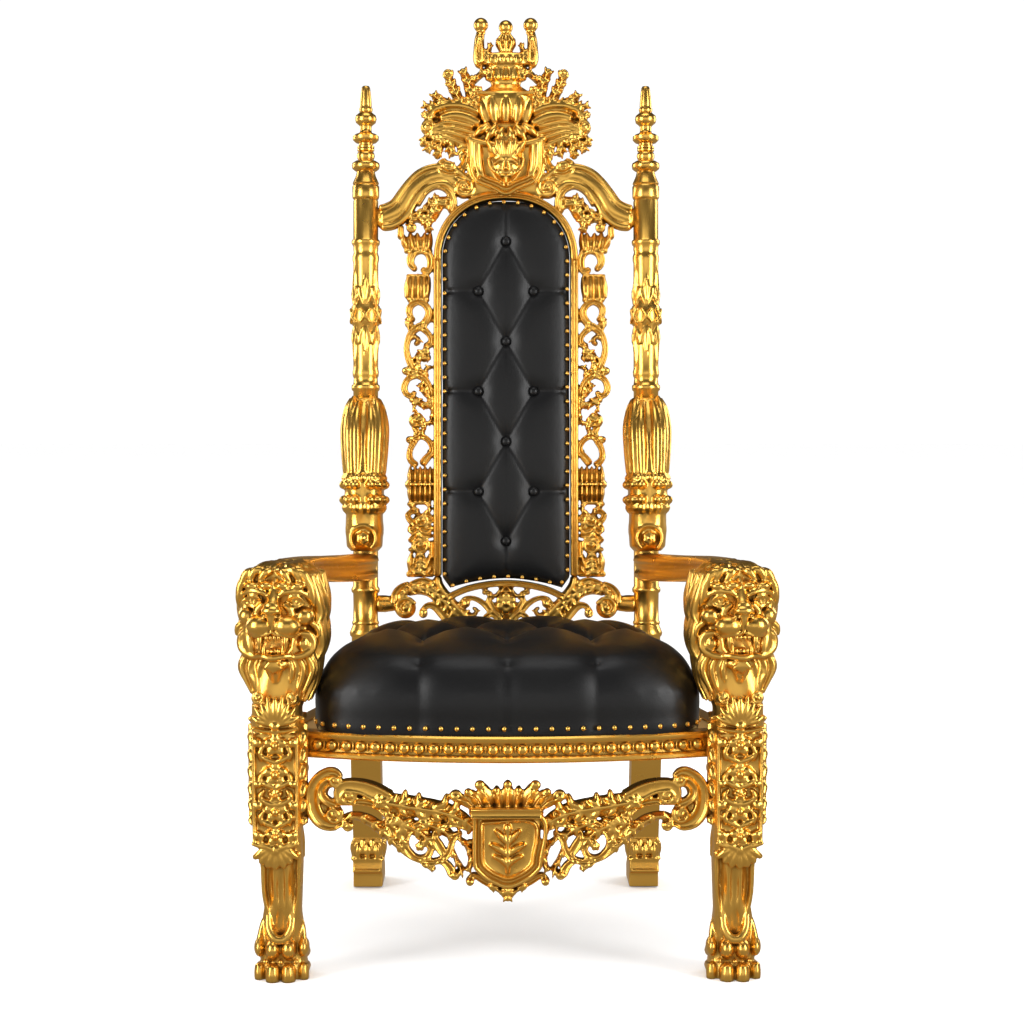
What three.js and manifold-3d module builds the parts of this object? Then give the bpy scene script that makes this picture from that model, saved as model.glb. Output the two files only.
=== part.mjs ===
// Carved and gilded lion throne with tufted black upholstery. Millimetres, +Z up, the sitter faces -Y.
// The origin is on the floor under the middle of the whole chair.
import * as THREE from 'three';
import { mergeVertices } from 'three/addons/utils/BufferGeometryUtils.js';
import Module from 'manifold-3d';

// ---- driving dimensions ----
const BACK_RAKE = 4 * Math.PI / 180;    // the back leans this far behind upright
const BACK_HINGE = [235, 520];          // y and z of the line that it leans about
const FRAME_MID = 235;                  // middle of the back frame's thickness, before it leans
const FRAME_HALF = 21;                  // half thickness of the plain back mouldings
const POST_X = 281.5;                   // middle of each turned rear post
const LEG_FRONT = -396;                 // front face of the front legs
const RAIL_TOP = 426;
const RAIL_BOTTOM = 380;
const RAIL_END = 355;                   // half length of the front rail
const RAIL_BOW = 66;                    // how far its middle comes forward of its ends
const RAIL_END_Y = -328;                // front face of the rail at its ends
const RAIL_THICK = 34;
const BEAD_RADIUS = 9.5;
const BEAD_COUNT = 27;
const BEAD_PITCH = 25.4;
const REAR_X = 282.5;
const REAR_HALF = 30.5;
const PAD_HALF = 128;                   // half width of the back pad
const PAD_SPRING = 1280;                // height where the pad's arch begins
const PAD_RISE = 120;
const CUSHION_TOP = 577;
const BUTTON_RADIUS = 9;
const GAP = 0.5;

const wasm = await Module();
wasm.setup();

const gilt = new THREE.MeshStandardMaterial({ color: 0xc9922a, metalness: 0.9, roughness: 0.28 });
const leather = new THREE.MeshStandardMaterial({ color: 0x0c0c0d, metalness: 0, roughness: 0.42 });

// ---- from three.js geometry to solids and back ----
function toSolid(geometry) {
  const bare = geometry.clone();
  bare.deleteAttribute('normal');
  bare.deleteAttribute('uv');
  const merged = mergeVertices(bare, 1e-3);
  const position = merged.attributes.position;
  const index = [];
  for (let i = 0; i < merged.index.count; i += 3) {
    const a = merged.index.getX(i);
    const b = merged.index.getX(i + 1);
    const c = merged.index.getX(i + 2);
    if (a !== b && b !== c && c !== a) index.push(a, b, c);
  }
  return new wasm.Manifold(new wasm.Mesh({
    numProp: 3,
    vertProperties: new Float32Array(position.array),
    triVerts: new Uint32Array(index),
  }));
}

// Joined pieces can trap a pocket of air between them. Its skin faces inwards, so its volume is negative,
// and it is left out here to keep the carving solid.
function toGeometry(solid) {
  const mesh = solid.getMesh();
  const points = mesh.vertProperties;
  const tris = mesh.triVerts;
  const leader = Array.from({ length: points.length / 3 }, (_, i) => i);
  const find = (i) => {
    let top = i;
    while (leader[top] !== top) top = leader[top];
    leader[i] = top;
    return top;
  };
  for (let t = 0; t < tris.length; t += 3) {
    leader[find(tris[t + 1])] = find(tris[t]);
    leader[find(tris[t + 2])] = find(tris[t]);
  }
  const corner = (i) => new THREE.Vector3().fromArray(points, 3 * i);
  const volume = new Map();
  for (let t = 0; t < tris.length; t += 3) {
    const shell = find(tris[t]);
    const six = corner(tris[t]).dot(corner(tris[t + 1]).cross(corner(tris[t + 2])));
    volume.set(shell, (volume.get(shell) || 0) + six);
  }
  const index = [];
  for (let t = 0; t < tris.length; t += 3) {
    if (volume.get(find(tris[t])) > 0) index.push(tris[t], tris[t + 1], tris[t + 2]);
  }
  const geometry = new THREE.BufferGeometry();
  geometry.setAttribute('position', new THREE.BufferAttribute(new Float32Array(points), 3));
  geometry.setIndex(index);
  return geometry;
}

function join(geometries) {
  let solid = toSolid(geometries[0]);
  for (const geometry of geometries.slice(1)) solid = solid.add(toSolid(geometry));
  return toGeometry(solid);
}

function cut(geometry, tools) {
  let solid = toSolid(geometry);
  for (const tool of tools) solid = solid.subtract(toSolid(tool));
  return toGeometry(solid);
}

// Mirrors across the middle plane of the chair and turns the faces the right way out again.
function mirrored(geometry) {
  const copy = geometry.index ? geometry.clone() : mergeVertices(geometry.clone());
  copy.scale(-1, 1, 1);
  const index = copy.index;
  for (let i = 0; i < index.count; i += 3) {
    const a = index.getX(i);
    index.setX(i, index.getX(i + 1));
    index.setX(i + 1, a);
  }
  return copy;
}

const bothSides = (geometries) => [...geometries, ...geometries.map(mirrored)];

// ---- shape helpers ----
// Skins a closed solid over a row of rings that all have the same number of points.
function loft(rings) {
  const count = rings[0].length;
  const positions = rings.flat().flatMap((p) => [p.x, p.y, p.z]);
  const index = [];
  for (let r = 0; r + 1 < rings.length; r += 1) {
    for (let k = 0; k < count; k += 1) {
      const a = r * count + k;
      const b = r * count + (k + 1) % count;
      index.push(a, b, b + count, a, b + count, a + count);
    }
  }
  const last = (rings.length - 1) * count;
  for (let k = 1; k + 1 < count; k += 1) {
    index.push(0, k + 1, k);
    index.push(last, last + k, last + k + 1);
  }
  const geometry = new THREE.BufferGeometry();
  geometry.setAttribute('position', new THREE.Float32BufferAttribute(positions, 3));
  geometry.setIndex(index);
  return geometry;
}

// A board cut to an outline in x and z, from y = front to y = back, its front edge eased.
function plate(outline, front, back, ease = 0) {
  const shape = new THREE.Shape(outline.map(([x, z]) => new THREE.Vector2(x, z)));
  const geometry = new THREE.ExtrudeGeometry(shape, {
    depth: back - front - ease,
    bevelEnabled: ease > 0,
    bevelThickness: ease / 2,
    bevelSize: ease,
    bevelOffset: -ease,
    bevelSegments: 1,
    curveSegments: 4,
  });
  geometry.rotateX(Math.PI / 2);
  geometry.translate(0, back - ease / 2, 0);
  return geometry;
}

// A carved strap through points [x, z, half width], cut through from y = front to y = back.
function strap(points, front, back, share = 0.6) {
  const path = new THREE.CatmullRomCurve3(points.map(([x, z]) => new THREE.Vector3(x, 0, z)), false, 'centripetal');
  const count = Math.max(Math.min(points.length, 3), Math.round(points.length * share));
  const rings = [];
  for (let i = 0; i < count; i += 1) {
    const at = i / (count - 1);
    const middle = path.getPoint(at);
    const along = path.getTangent(at);
    const from = Math.min(Math.floor(at * (points.length - 1)), points.length - 2);
    const width = THREE.MathUtils.lerp(points[from][2], points[from + 1][2], at * (points.length - 1) - from);
    rings.push([[-1, front], [1, front], [1, back], [-1, back]].map(([side, y]) => new THREE.Vector3(
      middle.x + along.z * side * width, y, middle.z - along.x * side * width)));
  }
  return loft(rings);
}

function ball(x, y, z, rx, ry = rx, rz = rx, around = 6, rows = 4) {
  const geometry = new THREE.SphereGeometry(1, around, rows);
  geometry.rotateX(Math.PI / 2);
  geometry.scale(rx, ry, rz);
  geometry.translate(x, y, z);
  return geometry;
}

// A round boss on flat carved work: x, z and radius, cut through like a strap.
function boss(x, z, radius, front, back, around = 6) {
  const geometry = new THREE.CylinderGeometry(radius, radius, back - front, around);
  geometry.translate(x, (front + back) / 2, z);
  return geometry;
}

function box(x0, x1, y0, y1, z0, z1) {
  const geometry = new THREE.BoxGeometry(x1 - x0, y1 - y0, z1 - z0);
  geometry.translate((x0 + x1) / 2, (y0 + y1) / 2, (z0 + z1) / 2);
  return geometry;
}

// Turned work: profile rows of [radius, height], from the foot up.
function turned(profile, x, y, around = 12) {
  const points = [[0, profile[0][1]], ...profile, [0, profile[profile.length - 1][1]]];
  const geometry = new THREE.LatheGeometry(points.map(([r, z]) => new THREE.Vector2(r, z)), around);
  geometry.rotateX(Math.PI / 2);
  geometry.translate(x, y, 0);
  return geometry;
}

// A level ring of a rounded rectangle: half sizes a and b, squareness from the exponent.
function ringAt(x, y, z, a, b, count = 12, power = 3) {
  const ring = [];
  for (let k = 0; k < count; k += 1) {
    const t = (k + 0.5) * 2 * Math.PI / count;
    const c = Math.cos(t);
    const s = Math.sin(t);
    const reach = (Math.abs(c) ** power + Math.abs(s) ** power) ** (-1 / power);
    ring.push(new THREE.Vector3(x + a * c * reach, y + b * s * reach, z));
  }
  return ring;
}

const throne = new THREE.Group();
const back = new THREE.Group();
back.position.set(0, BACK_HINGE[0], BACK_HINGE[1]);
back.rotation.x = -BACK_RAKE;
const inBack = new THREE.Group();
inBack.position.set(0, -BACK_HINGE[0], -BACK_HINGE[1]);
back.add(inBack);
throne.add(back);

function place(name, geometry, material = gilt, group = throne) {
  const mesh = new THREE.Mesh(geometry, material);
  mesh.name = name;
  group.add(mesh);
}

// ---- front legs: a lion mask over a carved knee and a hairy paw, each leg one carving ----
const legRings = [
  ringAt(-390, -345, 20, 45, 52, 8),
  ringAt(-390, -350, 60, 42, 42, 8),
  ringAt(-389, -352, 92, 34, 36, 8),
  ringAt(-388, -352, 120, 31, 36, 8),
  ringAt(-391, -351, 200, 37, 41, 8),
  ringAt(-396, -350, 300, 41, 45, 8),
  ringAt(-398, -349, 380, 43, 46, 8),
  ringAt(-398, -348, 478, 43, 47, 8),
];
const leg = [loft(legRings)];
for (const [x, y, half] of [[-404, -372, 12.5], [-379, -372, 12.5], [-428, -358, 9.5], [-354, -358, 9.5]]) {
  leg.push(loft([
    ringAt(x, y, 0, half, 26, 6), ringAt(x, y, 36, half, 24, 6), ringAt(x, y, 56, half, 27, 6),
    ringAt(x, y + 4, 72, half - 4, 18, 6),
  ]));
}
leg.push(loft([ringAt(-390, -330, 0, 44, 46, 8), ringAt(-390, -330, 30, 45, 50, 8)]));
leg.push(plate([
  [-425, 505], [-397, 498], [-369, 505], [-356, 480], [-362, 450], [-384, 436], [-410, 436], [-432, 450],
  [-438, 480],
], LEG_FRONT - 3, LEG_FRONT + 14));
leg.push(plate([[-432, 430], [-362, 430], [-362, 240], [-397, 222], [-432, 240]], LEG_FRONT - 2, LEG_FRONT + 20));
// The head: skull, mane, brows, cheeks, muzzle, jaw, and the open mouth cut between them.
const headRings = [
  ringAt(-397, -340, 470, 42, 45, 10, 2.6),
  ringAt(-394, -330, 505, 54, 56, 10, 2.6),
  ringAt(-390, -318, 545, 67, 72, 10, 2.8),
  ringAt(-388, -306, 590, 70, 84, 10, 2.8),
  ringAt(-388, -303, 650, 73, 84, 10, 2.8),
  ringAt(-388, -303, 690, 74, 82, 10, 2.8),
  ringAt(-388, -298, 708, 68, 74, 10, 2.8),
  ringAt(-388, -293, 717, 54, 62, 10, 2.8),
];
const head = [loft(headRings)];
const faceParts = [
  plate([[-60, 690], [-30, 700], [0, 692], [30, 700], [60, 690], [58, 672], [-58, 672]], -16, 20),
  ball(-52, 8, 642, 21, 24, 24), ball(52, 8, 642, 21, 24, 24),
  ball(-21, -12, 619, 26, 26, 21), ball(21, -12, 619, 26, 26, 21),
  loft([
    [[-17, 12, 636], [-14, -34, 636], [14, -34, 636], [17, 12, 636]].map((p) => new THREE.Vector3(...p)),
    [[-17, 12, 652], [-13, -32, 652], [13, -32, 652], [17, 12, 652]].map((p) => new THREE.Vector3(...p)),
    [[-16, 12, 700], [-12, -12, 700], [12, -12, 700], [16, 12, 700]].map((p) => new THREE.Vector3(...p)),
  ]),
  ball(-47, 6, 584, 19, 20, 24), ball(47, 6, 584, 19, 20, 24),
  ball(0, -8, 548, 36, 22, 26),
];
const yaw = -8 * Math.PI / 180;
for (const piece of faceParts) {
  piece.rotateZ(yaw);
  piece.translate(-396, -366, 0);
  head.push(piece);
}
const mouth = loft([
  ringAt(0, -10, 571, 22, 34, 8, 4),
  ringAt(0, -10, 592, 22, 34, 8, 4),
  ringAt(0, -10, 599, 8, 34, 8, 4),
]);
mouth.rotateZ(yaw);
mouth.translate(-396, -366, 0);
const lionLeg = cut(join([...leg, ...head]), [mouth]);
place('front_leg_right', lionLeg);
place('front_leg_left', mirrored(lionLeg));

// ---- rear legs: square, raked back, with a carved cuff over a plain foot ----
const rearSide = [
  [300, 0], [402, 0], [405, 30], [384, 44], [374, 66], [362, 100], [330, 200], [300, 300], [272, RAIL_TOP],
  [208, RAIL_TOP], [212, 360], [236, 260], [272, 160], [292, 104], [290, 98], [293, 68], [288, 62], [286, 42],
  [292, 34], [300, 30],
];
const rearShape = new THREE.Shape(rearSide.map(([y, z]) => new THREE.Vector2(y, z)));
const rearLeg = new THREE.ExtrudeGeometry(rearShape, { depth: 2 * REAR_HALF, bevelEnabled: false });
rearLeg.rotateX(Math.PI / 2);
rearLeg.rotateZ(Math.PI / 2);
rearLeg.translate(-REAR_X - REAR_HALF, 0, 0);
place('rear_leg_right', mergeVertices(rearLeg));
place('rear_leg_left', mirrored(rearLeg));

// ---- arms: moulded rails that curve from behind the lion's head in to the rear posts ----
const armPath = [
  [-388, -216, 694, 30, 21], [-386, -150, 690, 34, 23], [-372, -50, 684, 33, 24],
  [-345, 50, 676, 31, 25], [-312, 140, 670, 30, 26], [-283, 217.5, 667, 30, 26],
];
const armSection = [
  [-1, -0.55], [-0.8, -1], [0.8, -1], [1, -0.55], [0.86, -0.35], [0.86, 0.1], [1.04, 0.3],
  [1, 0.72], [0.7, 1], [-0.7, 1], [-1, 0.72], [-1.04, 0.3], [-0.86, 0.1], [-0.86, -0.35],
];
const armCurve = new THREE.CatmullRomCurve3(armPath.map(([x, y, z]) => new THREE.Vector3(x, y, z)));
const armRings = [];
for (let i = 0; i <= 6; i += 1) {
  const at = i / 6;
  const middle = armCurve.getPoint(at);
  const along = armCurve.getTangent(at).setZ(0).normalize();
  if (i === 6 || i === 0) along.set(0, 1, 0);
  const where = at * (armPath.length - 1);
  const from = Math.min(Math.floor(where), armPath.length - 2);
  const half = THREE.MathUtils.lerp(armPath[from][3], armPath[from + 1][3], where - from);
  const tall = THREE.MathUtils.lerp(armPath[from][4], armPath[from + 1][4], where - from);
  armRings.push(armSection.map(([a, b]) => new THREE.Vector3(
    middle.x - along.y * a * half, middle.y + along.x * a * half, middle.z + b * tall)));
}
const arm = loft(armRings);
place('arm_right', arm);
place('arm_left', mirrored(arm));

// ---- seat rails ----
const railFace = (x) => RAIL_END_Y - RAIL_BOW * (1 - (x / RAIL_END) ** 2);
function bowed(inset, z0, z1, thick, half) {
  const rings = [];
  for (let i = 0; i <= 10; i += 1) {
    const x = -half + 2 * half * i / 10;
    const y = railFace(x) + inset;
    rings.push([[y, z0], [y, z1], [y + thick, z1], [y + thick, z0]].map(([b, c]) => new THREE.Vector3(x, b, c)));
  }
  return loft(rings.reverse());
}
const RAIL_HALF = RAIL_END - 2;
const railParts = [
  bowed(4, RAIL_BOTTOM + 2, RAIL_TOP - 1, RAIL_THICK - 4, RAIL_HALF),
  bowed(-3, RAIL_TOP - 12, RAIL_TOP, RAIL_THICK, RAIL_HALF),
  bowed(-5, RAIL_BOTTOM, RAIL_BOTTOM + 11, RAIL_THICK, RAIL_HALF),
];
for (let i = 0; i < BEAD_COUNT; i += 1) {
  const x = (i - (BEAD_COUNT - 1) / 2) * BEAD_PITCH;
  railParts.push(boss(x, 402.5, BEAD_RADIUS, railFace(x) - 4, railFace(x) + 12, 6));
}
place('seat_rail_front', join(railParts));

// The side rails run in from the front legs to the narrower rear legs, with a shaped lower edge.
function slab(x0, y0, x1, y1, thick, rows) {
  const along = new THREE.Vector2(x1 - x0, y1 - y0).normalize();
  const rings = rows.map(([t, low]) => {
    const x = THREE.MathUtils.lerp(x0, x1, t);
    const y = THREE.MathUtils.lerp(y0, y1, t);
    const dx = -along.y * thick / 2;
    const dy = along.x * thick / 2;
    return [[x + dx, y + dy, low], [x + dx, y + dy, RAIL_TOP], [x - dx, y - dy, RAIL_TOP], [x - dx, y - dy, low]]
      .map((p) => new THREE.Vector3(...p));
  });
  return loft(rings);
}
const sideRail = slab(-390, -299.5, -292, 206.5, 32, [
  [0, 352], [0.06, 346], [0.14, 352], [0.24, 372], [0.4, 380], [0.6, 380], [0.78, 372], [0.88, 354], [0.95, 350],
  [1, 354],
]);
const railTip = box(-420, -240, 206.5, 240, 340, 440);
const railNose = box(-440, -340, -340, -299, 340, 440);
const sideRailCut = cut(sideRail, [railTip, railNose]);
place('seat_rail_right', sideRailCut);
place('seat_rail_left', mirrored(sideRailCut));
const innerRear = REAR_X - REAR_HALF - GAP;
place('seat_rail_back', box(-innerRear, innerRear, 214, 256, RAIL_BOTTOM, RAIL_TOP));

// ---- carved apron: a pierced stretcher between the front legs, with a shield in the middle ----
const AP_FRONT = -358;
const AP_BACK = -330;
const apronSide = [
  strap([[-290, 348, 6], [-302, 357, 9], [-320, 350, 11], [-334, 334, 12], [-338, 312, 13], [-334, 288, 14],
    [-320, 270, 13], [-300, 264, 9], [-286, 274, 7]], AP_FRONT, AP_BACK),
  strap([[-296, 340, 9], [-314, 338, 8], [-322, 322, 8], [-314, 308, 8], [-296, 300, 7]], AP_FRONT, AP_BACK),
  boss(-301, 284, 17, AP_FRONT, AP_BACK),
  boss(-299, 343, 12, AP_FRONT, AP_BACK),
  strap([[-284, 304, 9], [-293, 320, 10], [-282, 333, 11], [-255, 332, 14], [-232, 325, 17], [-208, 310, 20],
    [-186, 296, 20]], AP_FRONT, AP_BACK),
  strap([[-290, 305, 6], [-270, 306, 7], [-245, 305, 7], [-222, 296, 7], [-204, 278, 7]], AP_FRONT, AP_BACK),
  boss(-277, 316, 15, AP_FRONT, AP_BACK),
  plate([
    [-210, 304], [-196, 318], [-184, 319], [-178, 325], [-168, 320], [-163, 311], [-154, 317], [-143, 319],
    [-137, 310], [-131, 302], [-120, 311], [-107, 317], [-104, 303], [-95, 303], [-86, 310], [-80, 302], [-74, 292],
    [-58, 277], [-57, 262], [-66, 251], [-84, 262], [-110, 268], [-140, 273], [-166, 284], [-205, 274],
  ], AP_FRONT, AP_BACK),
  strap([[-204, 286, 8], [-203, 262, 9], [-192, 238, 9], [-178, 222, 9], [-160, 207, 6], [-135, 200, 5],
    [-114, 204, 6], [-101, 218, 6], [-96, 236, 6], [-87, 249, 6], [-75, 246, 5]], AP_FRONT, AP_BACK),
  strap([[-120, 266, 6], [-150, 268, 6], [-172, 250, 6], [-176, 226, 6], [-160, 207, 6], [-141, 208, 6],
    [-133, 222, 6], [-141, 235, 6], [-152, 228, 8]], AP_FRONT, AP_BACK),
  strap([[-190, 282, 9], [-186, 262, 12], [-184, 240, 9], [-176, 228, 4]], AP_FRONT, AP_BACK),
  strap([[-68, 258, 5], [-92, 266, 5], [-116, 260, 6], [-126, 244, 6], [-118, 226, 9], [-106, 208, 5]],
    AP_FRONT, AP_BACK),
  strap([[-118, 204, 5], [-104, 194, 7], [-97, 180, 8], [-92, 173, 5]], AP_FRONT, AP_BACK),
  strap([[-96, 222, 4], [-88, 200, 5], [-80, 184, 7], [-90, 174, 6]], AP_FRONT, AP_BACK),
  strap([[-84, 240, 4], [-72, 230, 6], [-64, 214, 7], [-64, 194, 7], [-74, 180, 7]], AP_FRONT, AP_BACK),
  strap([[-58, 234, 4], [-68, 228, 5]], AP_FRONT, AP_BACK),
  strap([[-150, 198, 3], [-138, 192, 5], [-126, 186, 3]], AP_FRONT, AP_BACK),
  strap([[-276, 262, 7], [-286, 268, 7], [-277, 279, 8], [-258, 279, 10], [-236, 270, 11], [-214, 252, 12],
    [-196, 234, 9], [-180, 218, 5]], AP_FRONT, AP_BACK),
  boss(-277, 262, 9, AP_FRONT, AP_BACK),
  strap([[-66, 166, 7], [-60, 176, 5], [-46, 170, 6], [-34, 162, 6], [-24, 160, 8]], AP_FRONT, AP_BACK),
  boss(-27, 158, 8, AP_FRONT, AP_BACK), boss(-66, 166, 8, AP_FRONT, AP_BACK), boss(-12, 147, 8, AP_FRONT, AP_BACK), boss(-92, 177, 9, AP_FRONT, AP_BACK),
  strap([[-24, 176, 5], [-28, 160, 7], [-14, 150, 7], [0, 142, 8]], AP_FRONT, AP_BACK),
  strap([[-40, 184, 5], [-24, 172, 6], [0, 160, 8]], AP_FRONT, AP_BACK),
];
const shieldOutline = [
  [-57, 283], [57, 283], [57, 206], [52, 190], [42, 180], [28, 171], [0, 161], [-28, 171], [-42, 180], [-52, 190],
  [-57, 206],
];
const apronMiddle = [
  plate(shieldOutline, AP_FRONT - 16, AP_BACK, 6),
  box(-62, 62, AP_FRONT - 22, AP_BACK, 280, 298),
  plate([
    [-62, 297], [-64, 302], [-74, 300], [-82, 310], [-98, 314], [-99, 322], [-88, 325], [-82, 322], [-78, 330],
    [-66, 328], [-60, 332], [-56, 341], [-46, 342], [-38, 335], [-30, 337], [-22, 331], [-14, 336], [-8, 334],
    [0, 342], [8, 334], [14, 336], [22, 331], [30, 337], [38, 335], [46, 342], [56, 341], [60, 332], [66, 328],
    [78, 330], [82, 322], [88, 325], [99, 322], [98, 314], [82, 310], [74, 300], [64, 302], [62, 297],
  ], AP_FRONT - 8, AP_BACK + 2, 3),
  strap([[0, 166, 6], [0, 150, 9], [0, 134, 4]], AP_FRONT - 2, AP_BACK),
  strap([[0, 268, 9], [0, 240, 6], [0, 196, 5]], AP_FRONT - 21, AP_FRONT - 10),
  strap([[-26, 236, 5], [0, 240, 6], [26, 236, 5]], AP_FRONT - 21, AP_FRONT - 10),
];
place('front_apron', join([...apronMiddle, ...bothSides(apronSide)]));

// ---- turned rear posts, each with a fluted leaf bracket standing on the arm ----
const postProfile = [
  [28, 430], [28, 527], [33, 530], [25, 556], [25, 611], [28.5, 616], [28.5, 621], [25, 626], [25, 1017],
  [28.5, 1022], [25, 1029], [27, 1050], [26, 1152], [29, 1160], [29, 1185], [26, 1193], [25, 1307], [28.5, 1313],
  [25, 1323], [25, 1400], [27, 1404], [27, 1432], [18, 1463], [28, 1468], [28, 1475], [18, 1481], [14, 1516],
  [26, 1522], [26, 1531], [12, 1537], [12, 1553], [21, 1558], [21, 1570], [12, 1577], [8.5, 1630],
];
const post = turned(postProfile, -POST_X, FRAME_MID, 8);
const BRACKET_Y = 190;
const bracket = loft([
  ringAt(-POST_X, BRACKET_Y + 18, 696, 26, 36, 8, 3),
  ringAt(-POST_X, BRACKET_Y + 14, 706, 36, 46, 8, 3),
  ringAt(-POST_X, BRACKET_Y + 8, 740, 40, 54, 8, 3),
  ringAt(-POST_X, BRACKET_Y + 6, 774, 39, 56, 8, 3),
  ringAt(-POST_X, BRACKET_Y + 6, 780, 43, 60, 8, 3),
  ringAt(-POST_X, BRACKET_Y + 6, 842, 43, 60, 8, 3),
  ringAt(-POST_X, BRACKET_Y + 8, 850, 40, 58, 8, 3),
  ringAt(-POST_X, BRACKET_Y + 16, 930, 42, 52, 8, 3),
  ringAt(-POST_X, BRACKET_Y + 26, 975, 38, 40, 8, 3),
  ringAt(-POST_X, BRACKET_Y + 38, 1003, 28, 30, 8, 3),
]);
const postSolid = join([post, bracket]);
place('rear_post_right', postSolid, gilt, inBack);
place('rear_post_left', mirrored(postSolid), gilt, inBack);

// ---- back frame: crest, stiles, bottom rail, all in the leaning plane ----
const F0 = FRAME_MID - FRAME_HALF;
const F1 = FRAME_MID + FRAME_HALF;
const archAt = (grow, turn) => {
  const c = Math.abs(Math.cos(turn)) ** (2 / 2.2) * Math.sign(Math.cos(turn));
  const s = Math.abs(Math.sin(turn)) ** (2 / 2.2);
  return [(PAD_HALF + grow) * c, PAD_SPRING + (PAD_RISE + grow) * s];
};
const ARCH_STEPS = 14;
const arch = [];
for (let i = 0; i <= ARCH_STEPS; i += 1) {
  const [x, z] = archAt(9, Math.PI * i / ARCH_STEPS);
  arch.push([x, z, 8.5]);
}
const C0 = F0 + 3;
const C1 = F1 - 6;
const crestSide = [
  strap([[-249, 1366, 27], [-232, 1369, 29], [-213, 1382, 27], [-198, 1405, 25], [-182, 1427, 24],
    [-163, 1443, 25], [-138, 1451, 25], [-112, 1449, 25], [-88, 1432, 24], [-60, 1420, 18]], C0, C1),
  strap([[-176, 1392, 5], [-160, 1418, 6], [-138, 1429, 6], [-116, 1420, 7], [-105, 1398, 8], [-112, 1374, 8]],
    C0, C1),
  strap([[-190, 1342, 8], [-193, 1356, 9], [-180, 1365, 9], [-160, 1362, 12], [-146, 1372, 13], [-138, 1390, 15],
    [-124, 1400, 14], [-118, 1388, 10]], C0, C1),
  strap([[-182, 1372, 8], [-166, 1378, 9], [-152, 1394, 10], [-136, 1410, 8]], C0, C1),
  boss(-190, 1345, 10, C0, C1),
  strap([[-150, 1366, 9], [-158, 1352, 11], [-153, 1338, 8]], C0, C1),
  plate([
    [-62, 1595], [-66, 1608], [-73, 1622], [-72, 1655], [-76, 1668], [-88, 1677], [-97, 1671], [-95, 1652],
    [-103, 1652], [-106, 1663], [-117, 1666], [-128, 1660], [-125, 1640], [-117, 1618], [-108, 1610],
    [-124, 1609], [-128, 1620], [-138, 1623], [-146, 1614], [-142, 1602], [-148, 1600], [-160, 1602],
    [-164, 1592], [-160, 1582], [-171, 1580], [-172, 1572], [-160, 1560], [-120, 1560], [-80, 1570], [-40, 1560],
  ], C0, C1),
  plate([
    [-160, 1560], [-152, 1576], [-136, 1589], [-110, 1595], [-78, 1592], [-54, 1584], [-40, 1570], [-38, 1540],
    [-60, 1516], [-90, 1510], [-120, 1514], [-142, 1522], [-158, 1536],
  ], C0, C1),
  boss(-157, 1547, 14, C0, C1),
  boss(-116, 1655, 11, C0, C1),
  boss(-57, 1623, 10, C0, C1),
  strap([[-57, 1614, 5], [-64, 1600, 7], [-60, 1588, 7]], C0, C1),
  plate([
    [-160, 1532], [-170, 1522], [-172, 1511], [-165, 1509], [-169, 1496], [-163, 1491], [-154, 1498], [-150, 1510],
    [-146, 1500], [-147, 1487], [-138, 1482], [-127, 1489], [-121, 1496], [-119, 1484], [-108, 1481], [-100, 1490],
    [-96, 1478], [-78, 1476], [-72, 1520], [-110, 1526],
  ], C0, C1),
  strap([[-84, 1504, 8], [-80, 1484, 9], [-88, 1466, 9], [-106, 1456, 9], [-126, 1460, 9], [-131, 1474, 7],
    [-120, 1480, 6]], C0, C1),
  boss(-114, 1469, 12, C0, C1),
  boss(-84, 1425, 22, C0, C1),
  strap([[-64, 1640, 6], [-52, 1654, 9], [-38, 1662, 8], [-26, 1660, 8]], C0, C1),
  strap([[-52, 1672, 9], [-56, 1684, 10], [-54, 1705, 11], [-53, 1725, 10], [-50, 1744, 8]], C0, C1),
  ball(-50, FRAME_MID - 5, 1754, 15, 15, 15, 8, 5),
  strap([[-42, 1690, 8], [-34, 1705, 7], [-30, 1718, 5]], C0, C1),
];
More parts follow.
